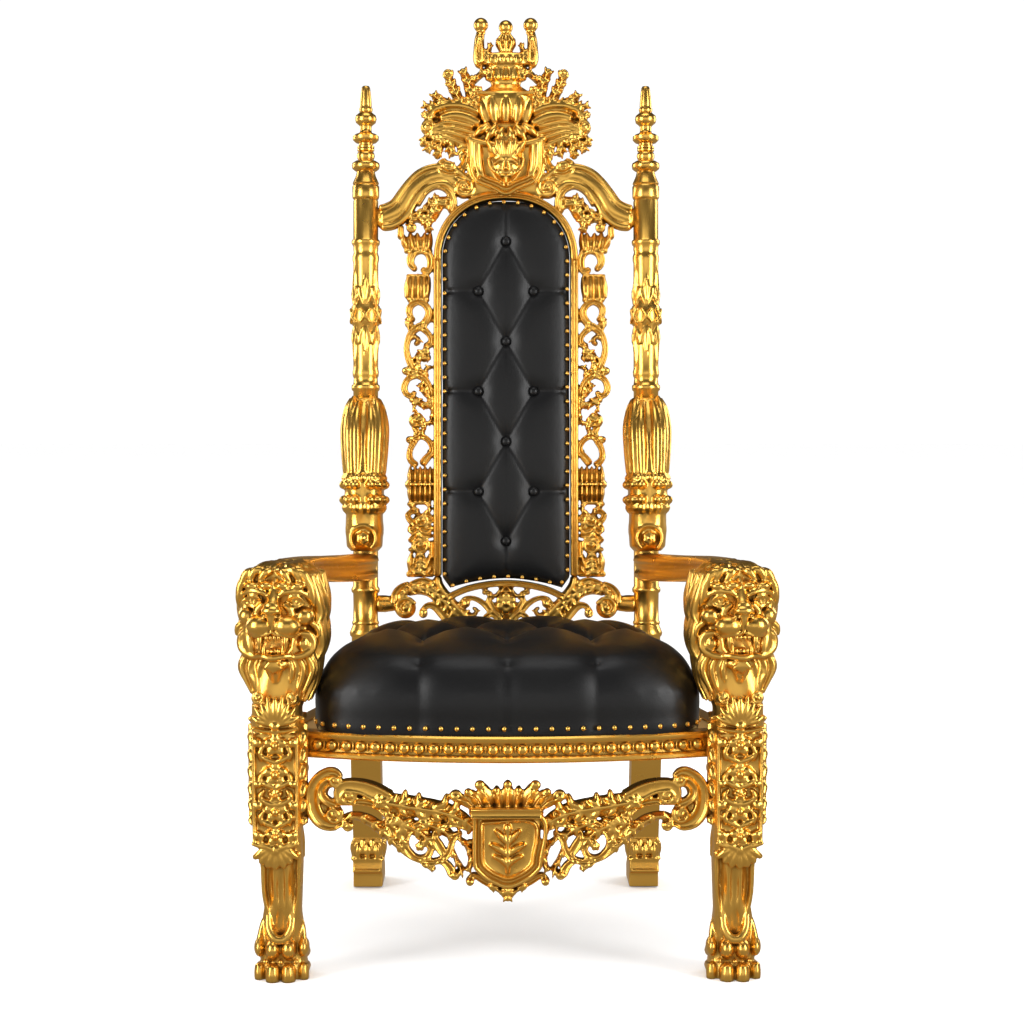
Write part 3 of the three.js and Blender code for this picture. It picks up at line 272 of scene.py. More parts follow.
class Carving:
    """Strokes in millimetres. On flat work a stroke's points are x, z, half width and depth behind the plane."""

    def __init__(self):
        self.bm = bmesh.new()
        self.turn = Matrix()

    def skin(self, rings):
        rows = [[self.bm.verts.new(self.turn @ Vector(p)) for p in ring] for ring in rings]
        for low, high in zip(rows, rows[1:]):
            for k in range(len(low)):
                n = (k + 1) % len(low)
                self.bm.faces.new((low[k], low[n], high[n], high[k]))
        self.bm.faces.new(rows[0][::-1])
        self.bm.faces.new(rows[-1])

    def cord(self, points, face=(0, -1, 0), share=1.0, sides=10, step=5.0):
        """A tapered round stroke through x, y, z, half width; share flattens it towards the face."""
        line = spline(points, step)
        along = np.gradient(line[:, :3], axis=0)
        along /= np.maximum(np.linalg.norm(along, axis=1), 1e-6)[:, None]
        up = np.array(face, float)
        side = np.cross(along, up)
        side /= np.maximum(np.linalg.norm(side, axis=1), 1e-6)[:, None]
        up = np.cross(side, along)
        turn = np.arange(sides) * 2 * math.pi / sides
        wide = np.maximum(line[:, 3], 0.4)[:, None]
        thick = wide * share if share > 0 else np.full_like(wide, -share)
        rings = [[p + s * w * math.cos(a) + u * t * math.sin(a) for a in turn]
                 for p, s, u, w, t in zip(line[:, :3], side, up, wide, thick)]
        start, end = line[0, :3] - along[0] * wide[0] * 0.5, line[-1, :3] + along[-1] * wide[-1] * 0.5
        rings = [[start + (q - line[0, :3]) * 0.5 for q in rings[0]], *rings,
                 [end + (q - line[-1, :3]) * 0.5 for q in rings[-1]]]
        self.skin(rings)

    def flat(self, path, y, depth, shift=0.0, scale=1.0):
        """A stroke on the plane y; depth is its half thickness, shift moves it sideways by shares of its width."""
        rows = spline([[p[0], p[1], p[2], p[3] if len(p) > 3 else 0.0] for p in path], 5.0)
        along = np.gradient(rows[:, :2], axis=0)
        along /= np.maximum(np.linalg.norm(along, axis=1), 1e-6)[:, None]
        x = rows[:, 0] + along[:, 1] * rows[:, 2] * shift
        z = rows[:, 1] - along[:, 0] * rows[:, 2] * shift
        points = np.stack([x, y + rows[:, 3], z, rows[:, 2] * scale], 1)
        self.cord(points[::2] if len(points) > 6 else points, share=-depth)

    def ribbon(self, path, y, depth, lip=0.27):
        """A strap with a raised lip along each edge and a hollow between."""
        self.flat(path, y + 1.5, depth - 1.5)
        for side in (-1, 1):
            self.flat(path, y - depth + 3.5, 4.5, side * 0.7, lip)

    def leaf(self, path, y, depth, lobes=4, flare=1.0, sides=(-1, 1)):
        """An acanthus leaf: a flat body, a raised vein, and lobes that spring forward from it."""
        self.flat(path, y + 2, depth - 3, 0, 0.85)
        self.flat(path, y - depth + 3, 5, 0, 0.2)
        rows = spline([[p[0], p[1], p[2]] for p in path], 2.0)
        along = np.gradient(rows[:, :2], axis=0)
        along /= np.maximum(np.linalg.norm(along, axis=1), 1e-6)[:, None]
        for i in range(lobes):
            k = int((i + 0.35) / lobes * (len(rows) - 1))
            (x, z, w), (u, v) = rows[k], along[k]
            for side in sides:
                n = np.array([v, -u]) * side
                w1 = w * flare
                mid = np.array([x, z]) + np.array([u, v]) * w1 * 0.40 + n * w1 * 0.50
                tip = np.array([x, z]) + np.array([u, v]) * w1 * 0.85 + n * w1 * 0.80
                self.flat([[x, z, w1 * 0.2, 2], [*mid, w1 * 0.36, -1.5], [*tip, w1 * 0.27, 3]],
                          y - depth + 6, 7)

    def ball(self, x, y, z, a, b=None, c=None, shape=0):
        move = self.turn @ Matrix.Translation((x, y, z)) @ Matrix.Diagonal((a, b or a, c or a, 1))
        corners = [self.bm.verts.new(move @ p) for p in lumps[shape][0]]
        for face in lumps[shape][1]:
            self.bm.faces.new([corners[k] for k in face])

    def board(self, outline, front, back):
        low = [self.bm.verts.new(self.turn @ Vector((x, front, z))) for x, z in outline]
        face = self.bm.faces.new(low)
        pushed = bmesh.ops.extrude_face_region(self.bm, geom=[face], use_keep_orig=True)
        moved = [g for g in pushed["geom"] if isinstance(g, bmesh.types.BMVert)]
        bmesh.ops.translate(self.bm, verts=moved, vec=self.turn.to_3x3() @ Vector((0, back - front, 0)))

    def flower(self, x, z, r, y, petals=5):
        for k in range(petals):
            a = 2 * math.pi * k / petals + math.pi / 2
            self.ball(x + 0.58 * r * math.cos(a), y, z + 0.58 * r * math.sin(a), r * 0.42, 4.5, r * 0.42)
        self.ball(x, y - 3, z, r * 0.30, 5, r * 0.30)

    def scroll(self, x, z, r, y, depth, start=0.0, hand=1, turns=1.2, eye=0.3):
        """A volute that winds in from its rim to a round eye."""
        points = []
        for t in np.linspace(0, 1, int(9 * turns) + 3):
            a = start + hand * 2 * math.pi * turns * t
            reach = r * (0.86 - 0.5 * t)
            points.append([x + reach * math.cos(a), z + reach * math.sin(a), r * (0.20 - 0.08 * t), -2.5 * t])
        self.flat(points, y - depth + 4, 5)
        self.ball(x, y, z, r * 0.92, depth - 2.5, r * 0.92)
        self.ball(x, y - depth + 2, z, r * eye, 6, r * eye)

    def twin(self):
        """The same strokes on the other side of the middle plane."""
        copy = bmesh.ops.duplicate(self.bm, geom=self.bm.verts[:] + self.bm.edges[:] + self.bm.faces[:])
        for g in copy["geom"]:
            if isinstance(g, bmesh.types.BMVert):
                g.co.x = -g.co.x

    def plain(self, name):
        """The strokes as they are, in metres."""
        mesh = bpy.data.meshes.new(name)
        bmesh.ops.scale(self.bm, vec=(mm, mm, mm), verts=self.bm.verts)
        bmesh.ops.recalc_face_normals(self.bm, faces=self.bm.faces)
        self.bm.to_mesh(mesh)
        self.bm.free()
        return mesh

    def melt(self, name, grain, soften=2, keep=1.0):
        """One skin over everything, in metres, on a grid of this many millimetres."""
        block = bpy.data.objects.new(name, self.plain(name))
        scene.collection.objects.link(block)
        skin = block.modifiers.new("skin", "REMESH")
        skin.mode = "VOXEL"
        skin.voxel_size = grain * mm
        skin.use_smooth_shade = True
        polish = block.modifiers.new("polish", "SMOOTH")
        polish.factor = 0.5
        polish.iterations = soften
        if keep < 1.0:
            thin = block.modifiers.new("thin", "DECIMATE")
            thin.ratio = keep
        done = bpy.data.meshes.new_from_object(block.evaluated_get(bpy.context.evaluated_depsgraph_get()))
        bpy.data.objects.remove(block)
        return done


def coordinates(mesh):
    at = np.empty(len(mesh.vertices) * 3)
    mesh.vertices.foreach_get("co", at)
    return at.reshape(-1, 3)


def press(mesh, centre, radii, push, power=2.0):
    """Gouges a hollow: points inside the ellipsoid move by push, easing out over its rim. Millimetres."""
    rim = 0.45
    at = coordinates(mesh)
    away = (abs((at * 1000 - centre) / radii) ** power).sum(1) ** (1 / power)
    ease = np.clip((1 - away) / rim, 0, 1)
    at += (ease * ease * (3 - 2 * ease))[:, None] * np.array(push) * mm
    mesh.vertices.foreach_set("co", at.ravel())


def mirror_mesh(mesh, name):
    copy = mesh.copy()
    copy.name = name
    copy.transform(Matrix.Diagonal((-1, 1, 1, 1)))
    copy.flip_normals()
    return copy


def leaned(mesh):
    """Everything in the back leans four degrees about a line at the height of the seat's frame."""
    hinge = Matrix.Translation((0, 0.235, 0.520))
    mesh.transform(hinge @ Matrix.Rotation(math.radians(-4), 4, "X") @ hinge.inverted())
    return mesh


def show(name, mesh, nodes, material):
    mesh.name = name
    mesh.materials.clear()
    mesh.materials.append(material)
    mesh.update()
    piece = bpy.data.objects.new(name, mesh)
    scene.collection.objects.link(piece)
    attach(piece, "root")
    if nodes:
        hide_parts(*nodes)
    return piece


def show_pair(part, right):
    """The piece at the sitter's right and its mirrored twin at the left."""
    right.shade_smooth()
    left = mirror_mesh(right, f"{part}_left_carved")
    show(f"{part}_right_carved", right, [f"{part}_right"], gold)
    show(f"{part}_left_carved", left, [f"{part}_left"], gold)


def show_gilded(part, mesh):
    mesh.shade_smooth()
    show(f"{part}_carved", mesh, [part], gold)


leg = Carving()
leg.skin([rounded(-390, -336, 0, 43, 42), rounded(-390, -336, 22, 41, 40), rounded(-390, -342, 60, 37, 32),
          rounded(-389, -348, 92, 33, 33), rounded(-388, -351, 120, 31, 34), rounded(-391, -351, 200, 37, 40),
          rounded(-396, -350, 300, 41, 44), rounded(-398, -349, 380, 43, 45), rounded(-398, -348, 478, 43, 46)])
# paw: four toes, each with a knuckle, a tendon above it and a claw
for x, y, half in [(-405, -375, 13), (-378, -375, 13), (-429, -360, 9.5), (-353, -360, 9.5)]:
    leg.cord([[x, y - 6, 1, half], [x, y - 8, 12, half], [x, y - 6, 24, half * 0.9]], share=1.25)
    leg.cord([[x, y + 30, 14, half], [x, y, 14, half]], face=(0, 0, 1), share=1.0)
    leg.ball(x, y - 2, 55, half + 0.5, 21, 17)
    leg.cord([[x, y + 26, 40, half], [x, y + 4, 48, half]], face=(0, 0, 1), share=1.2)
    leg.cord([[x * 0.5 - 195, y + 12, 124, 3.5], [x * 0.85 - 58, y + 6, 96, 5.5], [x, y - 6, 68, 6]])
    if half > 11:
        leg.ball(x - 13 if x < -391 else x + 13, y - 4, 33, 5)
leg.ball(-391.5, -384, 33, 4.5)
leg.cord([[-412, -376, 128, 5], [-411, -385, 96, 7], [-402, -391, 78, 8], [-391.5, -393, 74, 8],
        [-381, -391, 78, 8], [-372, -385, 96, 7], [-371, -376, 128, 5]])
knee_x = -397
# lower leg: three flutes under a shell, with locks of hair down the sides and behind
for x in (-420, -400, -379, -358):
    leg.cord([[x, -389, 226, 4.5], [x * 0.95 - 20, -386, 160, 4], [x * 0.75 - 97, -381, 112, 4]])
for a in (100, 128, 156, 184, 212, 240, 268):
    u, v = math.sin(math.radians(a)), -math.cos(math.radians(a))
    for low, size in ((70, 9), (118, 8), (166, 9), (214, 9)):
        reach = 27 + abs(low - 120) * 0.07
        leg.cord([[-390 + reach * u, -351 + reach * v, low + 52, 4],
                  [-390 + (reach + 1) * u, -351 + (reach + 1) * v, low + 26, size],
                  [-390 + (reach + 4) * u, -351 + (reach + 4) * v, low - 4, 3]], face=(u, v, 0), share=0.5)
leg.board([(-437, 430), (-358, 430), (-360, 240), (-372, 226), (knee_x, 218), (-422, 226),
        (-434, 240)], -393, -370)
for k in range(7):
    a = math.radians(-60 + 20 * k)
    leg.flat([[knee_x + 6 * math.sin(a), 240 - 4, 3], [knee_x + 30 * math.sin(a), 240 - 28 * math.cos(a), 7,
              -2],
              [knee_x + 42 * math.sin(a), 242 - 48 * math.cos(a), 5, 3]], -396, 6)
leg.flat([[-436, 243, 4], [-418, 236, 4], [knee_x, 233, 4], [-376, 236, 4], [-358, 243, 4]], -398, 5)
leg.ball(knee_x, -400, 231, 7, 6, 9)
# knee: flowers and beads between two raised bands
for x, lean in ((-434, -1), (-360, 1)):
    leg.flat([[x - lean, 244, 3.6], [x, 340, 3.6], [x, 430, 3.6]], -395, 6)
    for z, r in ((416, 6.5), (345, 5), (308, 6.5), (257, 6)):
        leg.ball(x - lean * 7.5, -397, z, r * 1.25, 8, r * 1.25)
for z, r in ((412, 20), (362, 21), (326, 12), (298, 20), (255, 17)):
    for k in range(5):
        a = 2 * math.pi * k / 5 + math.pi / 2
        leg.ball(knee_x + 0.62 * r * math.cos(a), -396, z + 0.62 * r * math.sin(a), r * 0.43, 8, r * 0.43)
    leg.ball(knee_x, -402, z, r * 0.34, 8, r * 0.34)
for z in (387, 343, 312, 276, 236):
    for side in (-1, 1):
        leg.flat([[knee_x, z - 4, 4], [knee_x + side * 12, z, 6, -2],
                [knee_x + side * 25, z + 8, 4, 2]], -395, 8)
        leg.flat([[knee_x + side * 20, z + 22, 3], [knee_x + side * 26, z + 12, 5, -2],
                [knee_x + side * 24, z, 3, 2]], -394, 7)
leg.flat([[-436, 442, 3], [-420, 437, 4], [knee_x, 435, 4], [-374, 437, 4], [-358, 442, 3]], -396, 6)
for k in range(9):
    a = math.radians(-72 + 18 * k)
    leg.flat([[knee_x + 8 * math.sin(a), 444 + 6 * math.cos(a), 2.5],
              [knee_x + 30 * math.sin(a), 444 + 32 * math.cos(a), 5.5, -3],
              [knee_x + 41 * math.sin(a), 444 + 52 * math.cos(a), 3.5, 4]], -396, 7)
leg.ball(knee_x, -402, 445, 8, 6, 7)
for side in (-1, 1):
    leg.scroll(knee_x + side * 30, 492, 12, -392, 8, math.pi / 2, side)
# the sides of the knee carry a hanging leaf each
for a in (90, -90, 180):
    middle = Matrix.Translation((knee_x, -348, 0))
    leg.turn = middle @ Matrix.Rotation(math.radians(a), 4, "Z") @ middle.inverted()
    leg.leaf([[knee_x, 440, 20], [knee_x, 380, 26], [knee_x, 310, 20], [knee_x, 262, 8]], -389, 9, 6, 1.0)
    leg.flat([[-425, 455, 4], [knee_x, 448, 5], [-369, 455, 4]], -391, 6)
    leg.turn = Matrix()

# head: skull first, then mane, then the face on a plane that looks a little outwards
leg.skin([rounded(-397, -340, 470, 42, 43, 2.6), rounded(-394, -330, 505, 50, 52, 2.6),
          rounded(-390, -318, 545, 60, 62, 2.6), rounded(-388, -308, 590, 63, 70, 2.6),
          rounded(-388, -303, 650, 66, 74, 2.6), rounded(-388, -301, 690, 65, 72, 2.6),
          rounded(-388, -298, 706, 56, 62, 2.6), rounded(-388, -293, 713, 40, 46, 2.6)])
for row, (top, mid, low, count, size) in enumerate([(700, 655, 610, 21, 11), (650, 596, 545, 21, 11),
        (590, 535, 482, 19, 9)]):
    for k in range(count):
        a = math.radians(52 + 256 * (k + 0.5 * (row % 2)) / (count - 1))
        sway = math.radians(6 + 3 * math.sin(k * 2.1))
        points = []
        for z, turn, out, w in ((top, -sway, 0, 5), (mid + 8, 0, 5, size), (mid - 22, sway, 6, size * 0.9),
                (low, -sway * 0.5, 4, 3.5)):
            low_share = max(0, (585 - z) / 105)
            rx, ry = 68 - 24 * low_share, 76 - 28 * low_share
            u, v = math.sin(a + turn), -math.cos(a + turn)
            reach = 1 / (abs(u) ** 2.6 + abs(v) ** 2.6) ** (1 / 2.6)
            points.append([-389 + (rx + out) * u * reach, -305 - 18 * low_share + (ry + out) * v * reach, z, w])
        leg.cord(points, face=(math.sin(a), -math.cos(a), 0), share=0.7)
for k in range(16):
    a = math.radians(20 + 320 * k / 15)
    u, v = math.sin(a), -math.cos(a)
    leg.cord([[-388 + 10 * u, -300 + 12 * v, 714, 6], [-388 + 38 * u, -300 + 44 * v, 712, 9],
              [-388 + 62 * u, -300 + 70 * v, 696, 6]], face=(0, 0, 1), share=0.7)
face_at, face_turn = Vector((-396, -366, 0)), math.radians(-8)
leg.turn = Matrix.Translation(face_at) @ Matrix.Rotation(face_turn, 4, "Z")
leg.skin([rounded(0, 2, 505, 24, 12), rounded(0, 4, 545, 44, 16), rounded(0, 6, 600, 52, 14),
          rounded(0, 5, 650, 60, 14), rounded(0, 3, 694, 54, 14), rounded(0, 4, 706, 48, 14)])
for s in (-1, 1):
    # fringe: thick locks that part in the middle and sweep out and down
    for k, (x1, z1, x2, z2) in enumerate([(14, 707, 24, 694), (32, 710, 42, 694), (48, 705, 59, 682),
            (57, 690, 65, 660)]):
        leg.cord([[s * (3 + 8 * k), -4, 708, 5], [s * x1, -15 + 2 * k, z1, 7.5], [s * x2, -15 + 3 * k, z2, 6],
                [s * (x2 + 2), -8 + 3 * k, z2 - 13, 2.5]])
    # brow: two swollen rolls over each eye
    leg.ball(s * 14, -17, 684, 14, 15, 8)
    leg.ball(s * 40, -13, 683, 14, 15, 8)
    leg.cord([[s * 8, -24, 665, 4], [s * 17, -25, 672, 5], [s * 36, -22, 675, 5], [s * 54, -12, 669, 4.5],
            [s * 62, -1, 652, 3.5]])
    # eye
    leg.ball(s * 36, -12, 658, 10, 12, 9.5)
    leg.cord([[s * 21, -17, 653, 2.4], [s * 29, -24, 665, 2.8], [s * 42, -22, 666, 2.8],
            [s * 52, -12, 655, 2.4]])
    leg.cord([[s * 21, -16, 653, 2.4], [s * 36, -20, 647, 2.8], [s * 52, -11, 654, 2.4]])
    # cheek, muzzle and jowl
    leg.ball(s * 50, -3, 631, 17, 19, 16)
    leg.cord([[s * 18, -22, 652, 6], [s * 27, -21, 644, 7], [s * 32, -18, 634, 7]])
    leg.ball(s * 23, -24, 616, 25, 23, 19)
    leg.cord([[s * 56, 0, 622, 5], [s * 70, 6, 610, 6], [s * 72, 8, 596, 4]])
    leg.cord([[s * 2, -38, 605, 2.5], [s * 14, -37, 600, 3.5], [s * 30, -31, 599, 4], [s * 43, -18, 602, 4]])
    leg.cord([[s * 42, -10, 602, 4], [s * 56, -5, 601, 7], [s * 63, 0, 588, 8], [s * 60, -1, 573, 8],
            [s * 46, -9, 564, 7], [s * 28, -19, 561, 5]])
    leg.ball(s * 47, -4, 584, 11, 11, 13)
    # beard and the fur below the jaw
    for k, (x0, x1, x2, z2) in enumerate([(14, 20, 14, 512), (22, 29, 21, 505), (30, 38, 28, 500),
            (38, 47, 34, 496), (46, 56, 40, 494), (54, 62, 45, 496), (60, 66, 50, 504)]):
        leg.cord([[s * x0, -10 + x0 * 0.22 - 5 * (k % 2), 562, 4],
                [s * x1, -14 + x1 * 0.32 - 6 * (k % 2), 538, 5.2],
                [s * x2, -4 + x2 * 0.2 - 5 * (k % 2), z2, 2.6]])
leg.cord([[0, -8, 694, 7], [0, -18, 676, 10], [0, -30, 656, 13], [0, -38, 648, 15]], share=0.8)
leg.ball(0, -40, 643, 18, 13, 9)
leg.cord([[0, -39, 640, 11], [0, -42, 626, 6], [0, -40, 606, 2.5]], share=0.8)
leg.ball(-12, -40, 636, 6, 7, 6)
leg.ball(12, -40, 636, 6, 7, 6)
leg.cord([[-30, -20, 564, 5], [-16, -30, 564, 6], [0, -33, 561, 6], [16, -30, 564, 6], [30, -20, 564, 5]])
leg.ball(0, -14, 550, 26, 17, 12)
leg.cord([[0, -18, 548, 20], [0, -16, 532, 12], [0, -12, 512, 4]], share=0.6)
for k in range(-3, 4):
    leg.cord([[k * 1.5, -30, 556, 2], [k * 4.2, -31, 545, 2.6], [k * 5.5, -27, 532 + abs(k) * 3, 1.4]])
leg.turn = Matrix()
right = leg.melt("front_leg", 1.6, 2, 0.205)
turned_out = Matrix.Rotation(face_turn, 3, "Z")
for (x, y, z), radii, depth, power in [
        ((0, -34, 583), (33, 60, 17), 42, 3.0), ((-13, -50, 635), (6, 16, 5), 8, 2), ((13, -50, 635),
        (6, 16, 5), 8, 2), ((-37, -22, 657), (3.5, 8, 3.5), 4, 2), ((37, -22, 657), (3.5, 8, 3.5), 4, 2),
        ((0, -54, 612), (2.5, 20, 14), 5, 2)]:
    at = turned_out @ Vector((x, y, z)) + face_at
    press(right, np.array(at), np.array(radii), turned_out @ Vector((0, depth, 0)), power)
for x, z, half, tall in [(-410, 168, 8, 46), (-389.5, 168, 8, 46), (-368.5, 168, 8, 46), (-391.5, 104, 9, 26)]:
    press(right, np.array((x, -390, z)), np.array((half, 30, tall)), (0, 4.5, 0))
# teeth and tongue are set into the mouth afterwards
teeth = Carving()
teeth.bm.from_mesh(right)
teeth.turn = Matrix.Scale(mm, 4) @ Matrix.Translation(face_at) @ Matrix.Rotation(face_turn, 4, "Z")
for s in (-1, 1):
    teeth.cord([[s * 23, -29, 600, 5], [s * 23, -31, 588, 4.2], [s * 22, -29, 573, 1.2]])
    teeth.cord([[s * 17, -26, 566, 3.6], [s * 17, -27, 577, 3], [s * 17, -25, 586, 1]])
    for x in (3.6, 10.8):
        teeth.ball(s * x, -31, 596, 3.3, 3.5, 6)
        teeth.ball(s * x * 0.85, -27, 572, 3, 3, 5)
teeth.ball(0, -12, 572, 13, 20, 6)
bmesh.ops.recalc_face_normals(teeth.bm, faces=teeth.bm.faces)
# the paw's pads are planed level where it stands
for vert in teeth.bm.verts:
    vert.co.z = max(vert.co.z, 0.0)
teeth.bm.to_mesh(right)
teeth.bm.free()
show_pair("front_leg", right)


# Rear legs: square gilded posts sawn to a backward rake, with a cuff of leaves cut above each plain foot. They are
# jointed into the corners of the seat frame under the turned posts.
rear = Carving()
side = [(300, 2), (401, 2), (404, 30), (384, 44), (374, 66), (362, 100), (346, 150), (330, 200), (300, 300),
        (272, 425), (208, 425), (212, 360), (222, 310), (236, 260), (256, 205), (272, 160), (292, 104),
        (290, 98),
        (293, 68), (288, 62), (286, 42), (292, 34), (300, 30)]
rear.turn = Matrix.Translation((-282.5, 0, 0)) @ Matrix.Rotation(math.radians(90), 4, "Z")
rear.board([(y, z) for y, z in side], -30, 30)
rear.turn = Matrix()
for x in (-302, -282.5, -263):
    rear.flat([[x, 92, 3], [x, 80, 7, -3], [x, 66, 4]], 292, 8)
for x in (-292, -273):
    rear.flat([[x, 98, 3], [x, 86, 5, -2], [x, 74, 3]], 294, 8)
rear.flat([[-312, 62, 3.5], [-253, 62, 3.5]], 290, 5)
rear.flat([[-312, 38, 3.5], [-253, 38, 3.5]], 288, 5)
rear.flat([[-312, 101, 3], [-253, 101, 3]], 294, 5)
for s in (-1, 1):
    rear.turn = Matrix.Translation((-282.5 + s * 30, 0, 0)) @ Matrix.Rotation(math.radians(90 * s), 4, "Z")
    for y, z in ((305, 92), (325, 92), (345, 90)):
        rear.flat([[s * y, z, 4], [s * (y + 4), z - 12, 8, -1], [s * (y + 10), z - 26, 4, 1]], -1, 5)
    rear.flat([[s * 292, 62, 3], [s * 374, 62, 3]], -1, 4)
rear.turn = Matrix()
right = rear.melt("rear_leg", 2.4, 2, 0.3)
show_pair("rear_leg", right)


# Arms: gilded wooden rails moulded with a reed along each side. They curve from the lion's mane, where a lock of
# hair laps over them, in to the rear posts.
arm = Carving()
path = spline([[-388, -216, 694, 30, 21], [-386, -150, 690, 34, 23], [-372, -50, 684, 33, 24],
               [-345, 50, 676, 31, 25], [-312, 140, 670, 30, 26], [-283, 217, 667, 30, 26]], 12)
section = [(-0.98, -0.5), (-0.9, -0.78), (-0.7, -0.96), (0, -1), (0.7, -0.96), (0.9, -0.78), (0.98, -0.5),
           (0.9, -0.36),
           (0.84, -0.2), (0.84, 0.0), (0.9, 0.12), (0.84, 0.24), (0.92, 0.34), (1.02, 0.5), (0.98, 0.74),
           (0.8, 0.94),
           (0.4, 1.02), (0, 1.04), (-0.4, 1.02), (-0.8, 0.94), (-0.98, 0.74), (-1.02, 0.5), (-0.92, 0.34),
           (-0.84, 0.24), (-0.9, 0.12), (-0.84, 0.0), (-0.84, -0.2), (-0.9, -0.36)]
along = np.gradient(path[:, :3], axis=0)
along[:, 2] = 0
along /= np.linalg.norm(along, axis=1)[:, None]
along[0] = along[-1] = (0, 1, 0)
arm.skin([[(p[0] - a[1] * u * p[3], p[1] + a[0] * u * p[3], p[2] + v * p[4]) for u, v in section]
          for p, a in zip(path, along)])
for k in range(5):
    x = -409 + 10 * k
    arm.cord([[x, -214, 708, 5], [x + 1, -190, 711, 6], [x + 2, -160 - 6 * abs(k - 2), 708, 3]], face=(0, 0, 1),
            share=0.8)
right = arm.melt("arm", 2.2, 2, 0.33)
show_pair("arm", right)


# Seat rails, of gilded wood. The front one bows forward and carries a row of pearls between two fillets; the others
# are plain. They are jointed into the legs and carry the stuffed seat.
rail = Carving()


def rail_face(x):
    return -328 - 66 * (1 - (x / 355) ** 2)


profile = [(6, 381), (-2, 380), (-5, 383), (-5, 388), (-2, 391), (3, 392), (5, 397), (5, 408), (3, 413),
           (-1, 414),
           (-3, 417), (-3, 422), (0, 425), (6, 425.5), (30, 425.5), (30, 381)]
rail.skin([[(x, rail_face(x) + d, z) for d, z in profile] for x in np.linspace(-353, 353, 61)])
for k in range(27):
    x = (k - 13) * 25.4
    rail.ball(x, rail_face(x) + 3, 402.5, 10, 8.5, 9.5)
    if k < 26:
        rail.ball(x + 12.7, rail_face(x + 12.7) + 4, 402.5, 2.4, 3, 7)
front = rail.plain("seat_rail_front_carved")
front.shade_smooth()
front.set_sharp_from_angle(angle=math.radians(40))
show("seat_rail_front_carved", front, ["seat_rail_front"], gold)

flank = Carving()
rows = [(0.004, 352), (0.06, 346), (0.14, 352), (0.2, 363), (0.26, 374), (0.34, 379), (0.4, 380), (0.5, 380),
        (0.6, 380), (0.7, 377), (0.78, 372), (0.84, 362), (0.88, 354), (0.95, 350), (0.999, 353)]
rings = []
for t, low in rows:
    x, y = -390 + 98 * t, -298.5 + 504.5 * t
    dx, dy = -0.9817 * 16, 0.1907 * 16
    rings.append([(x - dx, y - dy, low), (x - dx, y - dy, 425.5), (x + dx, y + dy, 425.5),
                  (x + dx * 1.2, y + dy * 1.2, 420),
                  (x + dx * 1.2, y + dy * 1.2, 412), (x + dx, y + dy, 408), (x + dx, y + dy, low + 14),
                  (x + dx * 1.2, y + dy * 1.2, low + 10), (x + dx * 1.2, y + dy * 1.2, low + 3),
                  (x + dx, y + dy, low)])
flank.skin(rings)
right = flank.melt("seat_rail", 2.5, 1, 0.25)
show_pair("seat_rail", right)
rail = Carving()
rail.skin([[(x, 215, 381), (x, 215, 425), (x, 255, 425), (x, 255, 400), (x, 258, 397), (x, 258, 390),
           (x, 255, 387), (x, 255, 381)]
           for x in np.linspace(-251, 251, 9)])
behind = rail.melt("seat_rail_back", 2.5, 1, 0.2)
show_gilded("seat_rail_back", behind)


# Apron: a pierced and gilded board between the front legs, with a branch of acanthus at each side and a shield under
# a leafy brow. Its ends are jointed into the knees.
apron = Carving()
plane, thick = -344, 13
for path in [
        [[-290, 348, 6], [-302, 357, 9], [-320, 350, 11], [-334, 334, 12], [-338, 312, 13], [-334, 288, 14],
        [-320, 270, 13], [-300, 264, 9], [-286, 274, 7]],
        [[-296, 340, 9], [-314, 338, 8], [-322, 322, 8], [-314, 308, 8], [-296, 300, 7]],
        [[-204, 286, 8], [-203, 262, 9], [-192, 238, 9], [-178, 222, 9], [-160, 207, 6], [-135, 200, 5],
        [-114, 204, 6], [-101, 218, 6], [-96, 236, 6], [-87, 249, 6], [-75, 246, 5]],
        [[-120, 266, 6], [-150, 268, 6], [-172, 250, 6], [-176, 226, 6], [-160, 207, 6], [-141, 208, 6],
        [-133, 222, 6], [-141, 235, 6], [-152, 228, 7]],
        [[-68, 258, 5], [-92, 266, 5], [-116, 260, 6], [-126, 244, 6], [-118, 226, 9], [-106, 208, 5]],
        [[-118, 204, 5], [-104, 194, 7], [-97, 180, 8], [-92, 173, 5]],
        [[-66, 166, 7], [-60, 176, 5], [-46, 170, 6], [-34, 162, 6], [-24, 160, 8]],
        [[-290, 305, 6], [-270, 306, 7], [-245, 305, 7], [-222, 296, 7], [-204, 278, 7]]]:
    apron.ribbon(path, plane, thick)
for path, lobes in [
        ([[-226, 306, 14], [-204, 303, 20], [-178, 298, 23], [-152, 294, 23], [-126, 290, 22], [-102, 284, 20],
        [-78, 274, 15], [-60, 262, 8]], 6),
        ([[-212, 268, 12], [-190, 268, 16], [-166, 260, 16], [-144, 246, 13], [-132, 230, 8]], 4),
        ([[-150, 270, 10], [-126, 262, 13], [-104, 250, 11], [-92, 238, 6]], 3),
        ([[-276, 262, 7], [-286, 268, 7], [-277, 279, 8], [-258, 279, 10], [-236, 270, 12], [-214, 252, 12],
        [-196, 234, 9], [-180, 218, 5]], 7),
        ([[-190, 282, 9], [-186, 262, 12], [-184, 240, 9], [-176, 228, 4]], 3),
        ([[-96, 222, 4], [-88, 200, 6], [-80, 184, 7], [-90, 174, 6]], 3),
        ([[-84, 240, 4], [-72, 230, 7], [-64, 214, 8], [-64, 194, 7], [-74, 180, 6]], 4),
        ([[-150, 198, 3], [-138, 192, 5], [-126, 186, 3]], 2),
        ([[-40, 184, 5], [-24, 172, 7], [0, 160, 8]], 3), ([[-24, 176, 5], [-28, 160, 7], [-14, 150, 7],
        [0, 142, 8]], 3)]:
    apron.leaf(path, plane - 1, thick + 1, lobes, 0.8)
